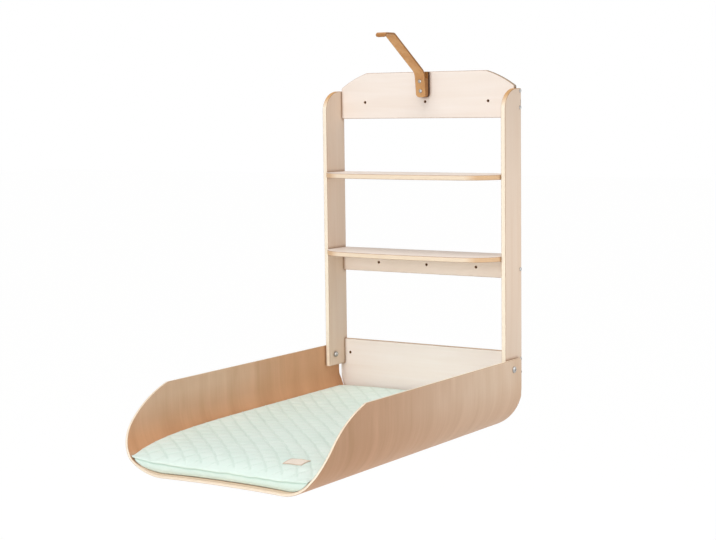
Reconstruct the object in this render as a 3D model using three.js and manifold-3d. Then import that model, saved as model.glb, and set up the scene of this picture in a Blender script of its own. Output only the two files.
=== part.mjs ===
// Wall-hung changing station of moulded plywood: a shelf frame with a tray that folds up against it.
// Millimetres. +X to the right, +Y into the wall, +Z up. The origin is the middle of the header's wall face.
import * as THREE from "three";
import { mergeVertices } from "three/addons/utils/BufferGeometryUtils.js";
import Module from "manifold-3d";

const wasm = await Module();
wasm.setup();

// Boards and clearances
const PLY = 12; // flat boards of the frame
const TRAY_PLY = 6; // bent sheet of the tray
const SEAT_GAP = 0.2; // between pieces that touch
const HOLE_GAP = 0.3; // round a shank, on the radius

// Frame
const INNER_WIDTH = 500; // between the uprights
const UPRIGHT_DEPTH = 82;
const UPRIGHT_TOP_DROP = 45; // from the header's top edge
const UPRIGHT_CORNER_DEPTH = 62; // quarter ellipse at the top
const UPRIGHT_CORNER_HEIGHT = 50;
const UPRIGHT_FOOT = 29; // below the pivot
const HEADER_HEIGHT = 115;
const HEADER_END_LENGTH = 78; // each sloping end of the top edge
const HEADER_END_DROP = 38;
const HEADER_END_BULGE = 3.5;
const UPPER_SHELF_DROP = 250; // header top to shelf top
const LOWER_SHELF_DROP = 446;
const SHELF_DEPTH = 150;
const SHELF_END_LENGTH = 78; // each curved end of the front edge
const SHELF_SHOULDER = 8; // the bow of the front edge between the ends
const SHELF_END_BULGE = 14;
const RAIL_HEIGHT = 47;
const PANEL_RISE = 12; // lower panel above the tray's walls

// Wall-screw holes
const WALL_HOLE_RADIUS = 2.6;
const HEADER_HOLE_SPACING = 178;
const HEADER_HOLE_DROP = 74;
const RAIL_HOLE_SPACING = 142;
const PANEL_HOLE_INSET = 17; // from the upright's inner face

// Tray
const TRAY_TOP_DROP = 697; // header top to the tray walls' top edge
const TRAY_HEIGHT = 179;
const TRAY_REACH = 880; // wall to the front of the tray's walls
const FRONT_SCOOP = 24; // the floor's front edge curves back from that in the middle
const TRAY_SIDE_GAP = 2.6; // upright to tray wall
const TRAY_BACK_GAP = 17.5; // wall to the back edge of the tray's walls
const BEND_RADIUS = 112; // outer face
const FRONT_CURVE_LENGTH = 272; // quarter ellipse of a wall's front, cut off at the wall's top
const FRONT_CURVE_HEIGHT = 193;
const BACK_CORNER = 6;
const BACK_FLARE_START = 76; // above the floor; below it, the back edge lies at the panel
const BACK_FLARE_HEIGHT = 18;

// Pivots
const PIVOT_SETBACK = 25; // behind the uprights' front edge
const PIVOT_DROP = 24; // below the tray walls' top edge
const PIVOT_RADIUS = 4;
const PIVOT_HEAD_RADIUS = 8;
const PIVOT_HEAD_HEIGHT = 4.5;
const PIVOT_THREAD = 5; // bolt past the upright's inner face
const WASHER_RADIUS = 9;
const NUT_ACROSS_FLATS = 13;
const NUT_HEIGHT = 8;

// Frame screws and shelf dowels
const SCREW_RADIUS = 2.5;
const SCREW_HEAD_RADIUS = 4.5;
const SCREW_HEAD_HEIGHT = 2.4;
const SCREW_GRIP = 34; // in the end of a board
const HEADER_SCREW_DROPS = [51, 91]; // header top to each screw
const PANEL_SCREW_PITCH = 32;
const PANEL_SCREW_TOP = 17; // below the panel's top edge
const DOWEL_RADIUS = 4;
const DOWEL_LENGTH = 30;
const DOWEL_IN_UPRIGHT = 8;
const DOWEL_EDGE = 20; // from the upright's front and back edges

// Strap
const STRAP_WIDTH = 28;
const LEATHER = 5.5;
const STRAP_SPACER = 8;
const STRAP_DOUBLER = 6;
const STRAP_BASE_LENGTH = 63; // spacer and doubler, from the header's top edge
const STRAP_ROOT_DROP = 16.8; // where the leather leaves the doubler, below the header's top edge
const STRAP_ROOT_CORNER = 8;
const STRAP_SLOPE = 31; // degrees above level
const STRAP_ROOT_BEND = 26; // radius on the middle of the leather
const STRAP_ARM_LENGTH = 151.8; // straight stretch
const STRAP_TIP_BEND = 10;
const STRAP_TIP_LENGTH = 31; // level stretch, over the edge of the folded tray
const STRAP_LIP_BEND = 5;
const STRAP_LIP_LENGTH = 3.5; // straight end, in front of the folded tray
const STRAP_LIP_CORNER = 6;
const STRAP_SCREW_DROPS = [24, 48]; // header top to each screw
const STRAP_SCREW_HEAD_RADIUS = 4.6;
const STRAP_SCREW_LENGTH = 26;

// Mattress and its label
const MATTRESS_GAP = 0.6; // to the tray
const MATTRESS_FRONT_GAP = 17; // to the front edge
const MATTRESS_BACK_GAP = 22; // to the lower panel
const MATTRESS_THICKNESS = 50;
const MATTRESS_FRONT_EDGE = 24; // height of the crown at the front seam
const MATTRESS_FRONT_ROUNDING = 35; // how fast the crown rises behind it
const MATTRESS_BACK_RISE = 20;
const MATTRESS_BACK_TAPER = 230;
const MATTRESS_SIDE_THICKNESS = 66; // sides ride up the tray's bends
const MATTRESS_SIDE_FRONT_EDGE = 39;
const MATTRESS_SIDE_ROUNDING = 115;
const MATTRESS_SIDE_GAP = 2.5; // side seams to the tray's bend
const MATTRESS_BAND_HEIGHT = 22; // seam to seam at the sides
const MATTRESS_DRAW_IN = 2; // sides pull in between the corners
const MATTRESS_CORNER_REACH = 14; // front corners come nearer to the front edge
const MATTRESS_BAND_BULGE = 2;
const QUILT_PITCH = 22.5; // half a diamond's diagonal
const QUILT_DEPTH = 2;
const LABEL_WIDTH = 50;
const LABEL_LENGTH = 36;
const LABEL_THICKNESS = 1.2;
const LABEL_LIFT = 0.6;
const LABEL_FROM_FRONT = 51; // behind the mattress's front seam
const LABEL_ASIDE = 136; // from the mattress's middle line

const ROUND_STEPS = 16;
const CURVE_STEPS = 14;

// Levels and places worked out from the sizes above
const innerHalf = INNER_WIDTH / 2;
const outerHalf = innerHalf + PLY;
const trayInnerHalf = outerHalf + TRAY_SIDE_GAP;
const trayOuterHalf = trayInnerHalf + TRAY_PLY;
const headerTop = HEADER_HEIGHT / 2;
const uprightTop = headerTop - UPRIGHT_TOP_DROP;
const upperShelfTop = headerTop - UPPER_SHELF_DROP;
const lowerShelfTop = headerTop - LOWER_SHELF_DROP;
const railTop = lowerShelfTop - PLY - SEAT_GAP;
const trayTop = headerTop - TRAY_TOP_DROP;
const trayBottom = trayTop - TRAY_HEIGHT;
const pivotY = PIVOT_SETBACK - UPRIGHT_DEPTH;
const pivotZ = trayTop - PIVOT_DROP;
const uprightBottom = pivotZ - UPRIGHT_FOOT;
const panelTop = trayTop + PANEL_RISE;
const panelBottom = trayBottom + TRAY_PLY / 2;
const panelHalf = outerHalf;
const boardMiddleY = -PLY / 2;

// Axis directions as matrices: a shape's own x and y, then the way it is drawn out
const ALONG_X = new THREE.Matrix4().makeBasis(
  new THREE.Vector3(0, 1, 0),
  new THREE.Vector3(0, 0, 1),
  new THREE.Vector3(1, 0, 0),
);
const FORWARD = new THREE.Matrix4().makeBasis(
  new THREE.Vector3(1, 0, 0),
  new THREE.Vector3(0, 0, 1),
  new THREE.Vector3(0, -1, 0),
);
const UPWARD = new THREE.Matrix4();

// A shape drawn out into a closed solid, moved so that it starts at the given point.
function drawnOut(shape, depth, direction, start = [0, 0, 0]) {
  const options = { depth, bevelEnabled: false, curveSegments: CURVE_STEPS };
  const geometry = new THREE.ExtrudeGeometry(shape, options);
  return geometry.applyMatrix4(direction).translate(...start);
}

// A turned piece: profile points are [radius, height], and height runs along the direction's third axis.
function turned(profile, direction, start = [0, 0, 0], steps = ROUND_STEPS) {
  const points = profile.map(([radius, height]) => new THREE.Vector2(radius, height));
  const geometry = new THREE.LatheGeometry(points, steps).rotateX(Math.PI / 2);
  return geometry.applyMatrix4(direction).translate(...start);
}

function rod(radius, length, direction, start, steps) {
  return turned([[0, 0], [radius, 0], [radius, length], [0, length]], direction, start, steps);
}

function solidOf(geometry) {
  const bare = new THREE.BufferGeometry();
  bare.setIndex(geometry.index);
  bare.setAttribute("position", geometry.getAttribute("position"));
  const merged = mergeVertices(bare, 1e-4);
  const vertProperties = new Float32Array(merged.getAttribute("position").array);
  const triVerts = new Uint32Array(merged.index.array);
  return new wasm.Manifold(new wasm.Mesh({ numProp: 3, vertProperties, triVerts }));
}

function geometryOf(solid) {
  const mesh = solid.getMesh();
  const geometry = new THREE.BufferGeometry();
  geometry.setAttribute("position", new THREE.BufferAttribute(mesh.vertProperties, 3));
  geometry.setIndex(new THREE.BufferAttribute(mesh.triVerts, 1));
  geometry.computeVertexNormals();
  return geometry;
}

// The base with each tool cut away.
function cutBy(base, tools) {
  return geometryOf(tools.reduce((left, tool) => left.subtract(solidOf(tool)), solidOf(base)));
}

// The space that both hold.
function common(first, second) {
  return geometryOf(solidOf(first).intersect(solidOf(second)));
}

// Continues a path to a point on a curve whose middle stands off the straight line, to the right of travel.
function bulgeTo(path, x, y, bulge) {
  const from = path.currentPoint.clone();
  const to = new THREE.Vector2(x, y);
  const along = to.clone().sub(from).normalize();
  const middle = from.clone().add(to).multiplyScalar(0.5);
  path.quadraticCurveTo(middle.x + 2 * bulge * along.y, middle.y - 2 * bulge * along.x, x, y);
}

// Materials
function finish(color, roughness, metalness = 0) {
  return () => new THREE.MeshStandardMaterial({ color, roughness, metalness });
}
const framePly = finish(0xe6d3bd, 0.55);
const trayPly = finish(0xd0ab88, 0.5);
const dowelWood = finish(0xd8bb92, 0.7);
const steel = finish(0xc9c9c7, 0.28, 1);
const nylon = finish(0xe9e6df, 0.5);
const leather = finish(0xc88b52, 0.6);
const darkLeather = finish(0x5e3413, 0.7);
const cotton = finish(0xd2e4da, 0.9);
const labelCloth = finish(0xecd6c4, 0.9);

function piece(group, name, material, geometry, position = [0, 0, 0]) {
  const mesh = new THREE.Mesh(geometry, material());
  mesh.name = name;
  mesh.position.set(...position);
  group.add(mesh);
  return mesh;
}

const sides = [
  { name: "left", sign: -1 },
  { name: "right", sign: 1 },
];
// Out of the object sideways: the third axis points to the left or the right.
function outward(sign) {
  return new THREE.Matrix4().makeRotationY((sign * Math.PI) / 2);
}

const station = new THREE.Group();
const frame = new THREE.Group();
const tray = new THREE.Group();
const strap = new THREE.Group();
tray.position.set(0, pivotY, pivotZ);
station.add(frame, tray, strap);

// Places of the screws and dowels, shared by the boards that they join
const panelScrewLevels = [0, 1].map((row) => panelTop - PANEL_SCREW_TOP - row * PANEL_SCREW_PITCH);
const screwPlaces = [
  { name: "header_screw", levels: HEADER_SCREW_DROPS.map((drop) => headerTop - drop) },
  { name: "rail_screw", levels: [railTop - RAIL_HEIGHT / 2] },
  { name: "panel_screw", levels: panelScrewLevels },
];
const dowelPlaces = [
  { name: "upper_shelf", level: upperShelfTop - PLY / 2 },
  { name: "lower_shelf", level: lowerShelfTop - PLY / 2 },
].flatMap(({ name, level }) => [
  { name: `${name}_dowel_rear`, y: -DOWEL_EDGE, level },
  { name: `${name}_dowel_front`, y: DOWEL_EDGE - UPRIGHT_DEPTH, level },
]);

function screwHoles(sign) {
  const start = sign * (innerHalf - SCREW_GRIP - 1);
  const length = SCREW_GRIP + PLY + 2;
  return screwPlaces.flatMap(({ levels }) =>
    levels.map((level) =>
      rod(SCREW_RADIUS + HOLE_GAP, length, outward(sign), [start, boardMiddleY, level])),
  );
}

function dowelHoles(sign) {
  const end = DOWEL_LENGTH - DOWEL_IN_UPRIGHT + SEAT_GAP;
  const start = sign * (innerHalf - end);
  return dowelPlaces.map(({ y, level }) =>
    rod(DOWEL_RADIUS + HOLE_GAP, DOWEL_LENGTH + 2 * SEAT_GAP, outward(sign), [start, y, level], 12),
  );
}

const bothScrewHoles = sides.flatMap(({ sign }) => screwHoles(sign));
const bothDowelHoles = sides.flatMap(({ sign }) => dowelHoles(sign));

// A hole for a wall screw, through a board that lies at the wall.
function wallHole(x, z) {
  return rod(WALL_HOLE_RADIUS, PLY + 2, FORWARD, [x, 1, z]);
}

// Uprights: boards on edge with a rounded top front corner
function uprightOutline() {
  const outline = new THREE.Shape();
  outline.moveTo(0, uprightBottom);
  outline.lineTo(0, uprightTop);
  const cornerY = UPRIGHT_CORNER_DEPTH - UPRIGHT_DEPTH;
  const cornerZ = uprightTop - UPRIGHT_CORNER_HEIGHT;
  const quarter = [Math.PI / 2, Math.PI, false, 0];
  outline.lineTo(cornerY, uprightTop);
  outline.absellipse(cornerY, cornerZ, UPRIGHT_CORNER_DEPTH, UPRIGHT_CORNER_HEIGHT, ...quarter);
  outline.lineTo(-UPRIGHT_DEPTH, uprightBottom);
  return outline;
}
for (const { name, sign } of sides) {
  const board = drawnOut(uprightOutline(), PLY, ALONG_X, [sign < 0 ? -outerHalf : innerHalf, 0, 0]);
  const pivotHole = rod(
    PIVOT_RADIUS + HOLE_GAP,
    PLY + 2,
    outward(sign),
    [sign * (innerHalf - 1), pivotY, pivotZ],
  );
  const holes = [...screwHoles(sign), ...dowelHoles(sign), pivotHole];
  piece(frame, `upright_${name}`, framePly, cutBy(board, holes));
}

// Header: straight top edge with ends that slope down to the uprights in a shallow curve
const boardHalf = innerHalf - SEAT_GAP;
function headerOutline() {
  const outline = new THREE.Shape();
  const flatHalf = innerHalf - HEADER_END_LENGTH;
  outline.moveTo(-boardHalf, headerTop - HEADER_END_DROP);
  outline.lineTo(-boardHalf, headerTop - HEADER_HEIGHT);
  outline.lineTo(boardHalf, headerTop - HEADER_HEIGHT);
  outline.lineTo(boardHalf, headerTop - HEADER_END_DROP);
  bulgeTo(outline, flatHalf, headerTop, HEADER_END_BULGE);
  outline.lineTo(-flatHalf, headerTop);
  bulgeTo(outline, -boardHalf, headerTop - HEADER_END_DROP, HEADER_END_BULGE);
  return outline;
}
const strapScrewLevels = STRAP_SCREW_DROPS.map((drop) => headerTop - drop);
const strapFace = -PLY - STRAP_SPACER - STRAP_DOUBLER - LEATHER - 3 * SEAT_GAP;
const strapHoleBack = strapFace + STRAP_SCREW_LENGTH + SEAT_GAP;
const strapScrewHoles = strapScrewLevels.map((level) =>
  rod(SCREW_RADIUS + HOLE_GAP, STRAP_SCREW_LENGTH + 2, FORWARD, [0, strapHoleBack, level]),
);
const headerHoles = [-1, 0, 1].map((column) =>
  wallHole(column * HEADER_HOLE_SPACING, headerTop - HEADER_HOLE_DROP),
);
const headerBoard = drawnOut(headerOutline(), PLY, FORWARD);
const headerCuts = [...headerHoles, ...bothScrewHoles, ...strapScrewHoles];
piece(frame, "header_panel", framePly, cutBy(headerBoard, headerCuts));

// Shelves: the front edge bows forward between the uprights and curves back to meet them
function shelfOutline() {
  const outline = new THREE.Shape();
  const flatHalf = innerHalf - SHELF_END_LENGTH;
  const shoulder = SHELF_SHOULDER - SHELF_DEPTH;
  outline.moveTo(boardHalf, 0);
  outline.lineTo(-boardHalf, 0);
  outline.lineTo(-boardHalf, -UPRIGHT_DEPTH);
  bulgeTo(outline, -flatHalf, shoulder, SHELF_END_BULGE);
  bulgeTo(outline, flatHalf, shoulder, SHELF_SHOULDER);
  bulgeTo(outline, boardHalf, -UPRIGHT_DEPTH, SHELF_END_BULGE);
  return outline;
}
const shelves = [
  { name: "upper_shelf", top: upperShelfTop },
  { name: "lower_shelf", top: lowerShelfTop },
];
for (const { name, top } of shelves) {
  const board = drawnOut(shelfOutline(), PLY, UPWARD, [0, 0, top - PLY]);
  piece(frame, name, framePly, cutBy(board, bothDowelHoles));
}

// Rail under the back of the lower shelf
function railOutline() {
  const outline = new THREE.Shape();
  outline.moveTo(-boardHalf, railTop - RAIL_HEIGHT);
  outline.lineTo(boardHalf, railTop - RAIL_HEIGHT);
  outline.lineTo(boardHalf, railTop);
  outline.lineTo(-boardHalf, railTop);
  return outline;
}
const railHoles = [-1, 0, 1].map((column) =>
  wallHole(column * RAIL_HOLE_SPACING, railTop - RAIL_HEIGHT / 2),
);
piece(
  frame,
  "shelf_rail",
  framePly,
  cutBy(drawnOut(railOutline(), PLY, FORWARD), [...railHoles, ...bothScrewHoles]),
);

// Lower panel: widens under the uprights and follows the tray's bend, so the tray's back edge bears on it
function panelOutline() {
  const outline = new THREE.Shape();
  const corner = BEND_RADIUS - (trayOuterHalf - panelHalf) - (panelBottom - trayBottom);
  const step = uprightBottom - SEAT_GAP;
  outline.moveTo(-boardHalf, panelTop);
  outline.lineTo(-boardHalf, step);
  outline.lineTo(-panelHalf, step);
  outline.lineTo(-panelHalf, panelBottom + corner);
  outline.absarc(corner - panelHalf, panelBottom + corner, corner, Math.PI, 1.5 * Math.PI, false);
  outline.lineTo(panelHalf - corner, panelBottom);
  outline.absarc(panelHalf - corner, panelBottom + corner, corner, -Math.PI / 2, 0, false);
  outline.lineTo(panelHalf, step);
  outline.lineTo(boardHalf, step);
  outline.lineTo(boardHalf, panelTop);
  return outline;
}
const panelHoles = sides.map(({ sign }) => wallHole(sign * (innerHalf - PANEL_HOLE_INSET), pivotZ));
piece(
  frame,
  "lower_panel",
  framePly,
  cutBy(drawnOut(panelOutline(), PLY, FORWARD), [...panelHoles, ...bothScrewHoles]),
);

// A pan-head screw along the third axis, point first: the head's seat is at height 0.
function panScrew(radius, headRadius, headHeight, length) {
  return [
    [0, -length],
    [radius * 0.6, -length],
    [radius, -length + radius],
    [radius, 0],
    [headRadius, 0],
    [headRadius, headHeight * 0.4],
    [headRadius * 0.72, headHeight * 0.9],
    [0, headHeight],
  ];
}

// Frame screws and shelf dowels
for (const { name: side, sign } of sides) {
  const seat = sign * (outerHalf + SEAT_GAP);
  const profile = panScrew(SCREW_RADIUS, SCREW_HEAD_RADIUS, SCREW_HEAD_HEIGHT, SCREW_GRIP + PLY);
  for (const { name, levels } of screwPlaces) {
    levels.forEach((level, row) => {
      const suffix = levels.length > 1 ? ["_upper", "_lower"][row] : "";
      const at = [seat, boardMiddleY, level];
      piece(frame, `${name}_${side}${suffix}`, steel, turned(profile, outward(sign)), at);
    });
  }
  const start = sign * (innerHalf + DOWEL_IN_UPRIGHT - DOWEL_LENGTH);
  for (const { name, y, level } of dowelPlaces) {
    const dowel = rod(DOWEL_RADIUS, DOWEL_LENGTH, outward(sign), [0, 0, 0], 12);
    piece(frame, `${name}_${side}`, dowelWood, dowel, [start, y, level]);
  }
}

// Pivots: domed bolt from outside, washer between tray and upright, cap nut inside
function domedBolt(length) {
  const dome = [0, 1, 2, 3].map((step) => {
    const angle = (step / 4) * (Math.PI / 2);
    return [
      PIVOT_HEAD_RADIUS * Math.cos(angle),
      PIVOT_HEAD_HEIGHT * (0.25 + 0.75 * Math.sin(angle)),
    ];
  });
  return [
    [0, -length],
    [PIVOT_RADIUS, -length],
    [PIVOT_RADIUS, 0],
    [PIVOT_HEAD_RADIUS, 0],
    ...dome,
    [0, PIVOT_HEAD_HEIGHT],
  ];
}
const nutBore = PIVOT_RADIUS + HOLE_GAP;
function capNut() {
  const outline = new THREE.Shape();
  const corner = NUT_ACROSS_FLATS / Math.sqrt(3);
  for (let side = 0; side < 6; side += 1) {
    const angle = (side * Math.PI) / 3;
    const point = [corner * Math.cos(angle), corner * Math.sin(angle)];
    if (side === 0) outline.moveTo(...point);
    else outline.lineTo(...point);
  }
  const prism = drawnOut(outline, NUT_HEIGHT, UPWARD);
  const crown = turned(
    [
      [0, 0],
      [corner * 1.1, 0],
      [corner * 1.1, NUT_HEIGHT * 0.45],
      [NUT_ACROSS_FLATS * 0.46, NUT_HEIGHT * 0.62],
      [NUT_ACROSS_FLATS * 0.3, NUT_HEIGHT * 0.93],
      [0, NUT_HEIGHT],
    ],
    UPWARD,
  );
  const bore = rod(nutBore, PIVOT_THREAD + 1, UPWARD, [0, 0, -0.5]);
  return cutBy(common(prism, crown), [bore]);
}
function washer(thickness) {
  const bore = PIVOT_RADIUS + HOLE_GAP;
  const ring = [
    [bore, 0],
    [WASHER_RADIUS, 0],
    [WASHER_RADIUS, thickness],
    [bore, thickness],
    [bore, 0],
  ];
  return turned(ring, UPWARD);
}
const washerThickness = TRAY_SIDE_GAP - 2 * SEAT_GAP;
const boltLength = TRAY_PLY + TRAY_SIDE_GAP + PLY + PIVOT_THREAD;
for (const { name, sign } of sides) {
  const turn = outward(sign);
  const headSeat = sign * (trayOuterHalf + SEAT_GAP);
  const bolt = turned(domedBolt(boltLength), turn);
  piece(frame, `pivot_bolt_${name}`, steel, bolt, [headSeat, pivotY, pivotZ]);
  const washerAt = [sign * (outerHalf + SEAT_GAP), pivotY, pivotZ];
  piece(frame, `pivot_washer_${name}`, nylon, washer(washerThickness).applyMatrix4(turn), washerAt);
  const nutAt = [sign * (innerHalf - SEAT_GAP), pivotY, pivotZ];
  piece(frame, `pivot_nut_${name}`, steel, capNut().applyMatrix4(outward(-sign)), nutAt);
}

// Tray shell: a U-shaped sheet, trimmed from the side. Its group turns about the pivots.
const floorBottom = trayBottom - pivotZ;
const floorTop = floorBottom + TRAY_PLY;
const wallTop = trayTop - pivotZ;
const trayFront = -TRAY_REACH - pivotY;
const wallBack = -TRAY_BACK_GAP - pivotY;
const floorBack = -PLY - SEAT_GAP - pivotY;
const innerBend = BEND_RADIUS - TRAY_PLY;
const flatHalf = trayOuterHalf - BEND_RADIUS;

function traySection() {
  const section = new THREE.Shape();
  const bendLevel = floorBottom + BEND_RADIUS;
  section.moveTo(-trayOuterHalf, wallTop);
  section.lineTo(-trayOuterHalf, bendLevel);
  section.absarc(-flatHalf, bendLevel, BEND_RADIUS, Math.PI, 1.5 * Math.PI, false);
  section.lineTo(flatHalf, floorBottom);
  section.absarc(flatHalf, bendLevel, BEND_RADIUS, -Math.PI / 2, 0, false);
  section.lineTo(trayOuterHalf, wallTop);
  section.lineTo(trayInnerHalf, wallTop);
  section.lineTo(trayInnerHalf, bendLevel);
  section.absarc(flatHalf, bendLevel, innerBend, 0, -Math.PI / 2, true);
  section.lineTo(-flatHalf, floorTop);
  section.absarc(-flatHalf, bendLevel, innerBend, 1.5 * Math.PI, Math.PI, true);
  section.lineTo(-trayInnerHalf, wallTop);
  return section;
}

// Side view: the front is part of an ellipse, and the back edge runs out to the panel.
function trayTrim() {
  const trim = new THREE.Shape();
  const margin = 1;
  const flareBottom = floorTop + BACK_FLARE_START;
  const flareTop = flareBottom + BACK_FLARE_HEIGHT;
  const curveMiddle = trayFront + FRONT_CURVE_LENGTH;
  const curveStart = Math.PI - Math.asin(TRAY_HEIGHT / FRONT_CURVE_HEIGHT);
  trim.moveTo(trayFront, floorBottom);
  trim.lineTo(trayFront, floorBottom - margin);
  trim.lineTo(floorBack, floorBottom - margin);
  trim.lineTo(floorBack, flareBottom);
  const flareMiddle = (flareBottom + flareTop) / 2;
  trim.bezierCurveTo(floorBack, flareMiddle, wallBack, flareMiddle, wallBack, flareTop);
  trim.lineTo(wallBack, wallTop - BACK_CORNER);
  trim.absarc(wallBack - BACK_CORNER, wallTop - BACK_CORNER, BACK_CORNER, 0, Math.PI / 2, false);
  trim.lineTo(curveMiddle + FRONT_CURVE_LENGTH * Math.cos(curveStart), wallTop);
  const stretch = [curveStart, Math.PI, false, 0];
  trim.absellipse(curveMiddle, floorBottom, FRONT_CURVE_LENGTH, FRONT_CURVE_HEIGHT, ...stretch);
  return trim;
}

// Plan view: what the hollow front edge takes off the floor.
function frontScoop() {
  const scoop = new THREE.Shape();
  const beyond = trayFront - 2;
  scoop.moveTo(-trayInnerHalf, beyond);
  scoop.lineTo(trayInnerHalf, beyond);
  scoop.lineTo(trayInnerHalf, trayFront);
  scoop.quadraticCurveTo(0, trayFront + 2 * FRONT_SCOOP, -trayInnerHalf, trayFront);
  return scoop;
}
// Where that edge lies at a distance from the middle.
function frontEdge(x) {
  return trayFront + FRONT_SCOOP * (1 - (x / trayInnerHalf) ** 2);
}
const sheetStart = floorBack + 1;
const sheet = drawnOut(traySection(), sheetStart - trayFront + 1, FORWARD, [0, sheetStart, 0]);
const trimmer = drawnOut(trayTrim(), 2 * trayOuterHalf + 2, ALONG_X, [-trayOuterHalf - 1, 0, 0]);
const pivotHoles = sides.map(({ sign }) =>
  rod(PIVOT_RADIUS + HOLE_GAP, TRAY_PLY + 2, outward(sign), [sign * (trayInnerHalf - 1), 0, 0]),
);
const scoopBlock = drawnOut(frontScoop(), TRAY_HEIGHT + 2, UPWARD, [0, 0, floorBottom - 1]);
piece(tray, "tray_shell", trayPly, cutBy(common(sheet, trimmer), [scoopBlock, ...pivotHoles]));

// Mattress: its underside lies in the tray's bend, its top is crowned and quilted in diamonds
const mattressBack = floorBack + SEAT_GAP - MATTRESS_BACK_GAP;
const mattressLength = mattressBack - frontEdge(0) - MATTRESS_FRONT_GAP;
const columns = 2 * Math.round(trayInnerHalf / QUILT_PITCH) - 2;
const rows = 2 * Math.round(mattressLength / QUILT_PITCH / 2);

// Half width of the tray's inside at a height above its floor, less an inset.
function bendHalf(height, inset) {
  const fall = Math.max(0, innerBend - height);
  return flatHalf + Math.sqrt(Math.max(0, (innerBend - inset) ** 2 - fall ** 2));
}

// Height of the tray's lining under the mattress, above the floor.
function liningHeight(x) {
  const past = Math.max(0, Math.abs(x) - flatHalf);
  const radius = innerBend - MATTRESS_GAP;
  return innerBend - Math.sqrt(Math.max(0, radius ** 2 - past ** 2));
}

// Distance behind the mattress's front seam, which follows the tray's front edge.
function behindFront(x, y) {
  return y - frontEdge(x) - MATTRESS_FRONT_GAP;
}

// Height that eases from the front seam's to the full one, within about the rounding's length.
function easedHeight(distance, edge, full, rounding) {
  return full - (full - edge) * Math.exp(-distance / rounding);
}

function sideHeight(distance) {
  return easedHeight(distance, MATTRESS_SIDE_FRONT_EDGE, MATTRESS_SIDE_THICKNESS, MATTRESS_SIDE_ROUNDING);
}

function seamHalf(distance) {
  return bendHalf(sideHeight(distance) - QUILT_DEPTH, MATTRESS_SIDE_GAP);
}

function restHalf(distance) {
  return bendHalf(sideHeight(distance) - QUILT_DEPTH - MATTRESS_BAND_HEIGHT, MATTRESS_GAP);
}

// Height of the top before quilting, above the floor.
function crownHeight(x, y) {
  const distance = Math.max(0, behindFront(x, y));
  const middle = easedHeight(distance, MATTRESS_FRONT_EDGE, MATTRESS_THICKNESS, MATTRESS_FRONT_ROUNDING);
  const rise = MATTRESS_BACK_RISE * THREE.MathUtils.smoothstep(y - mattressBack, -MATTRESS_BACK_TAPER, 0);
  const across = Math.min(1, Math.abs(x) / seamHalf(distance));
  return THREE.MathUtils.lerp(middle + rise, sideHeight(distance), across ** 4);
}

// Place on the plan of a grid point: u across and v along, both from -1 to 1.
function planPoint(u, v, halfAt) {
  const share = (v + 1) / 2;
  const x = u * (halfAt(share * mattressLength) - MATTRESS_DRAW_IN * (1 - v * v));
  const front = frontEdge(x) + MATTRESS_FRONT_GAP - MATTRESS_CORNER_REACH * u ** 6;
  return [x, THREE.MathUtils.lerp(front, mattressBack, share)];
}

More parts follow.
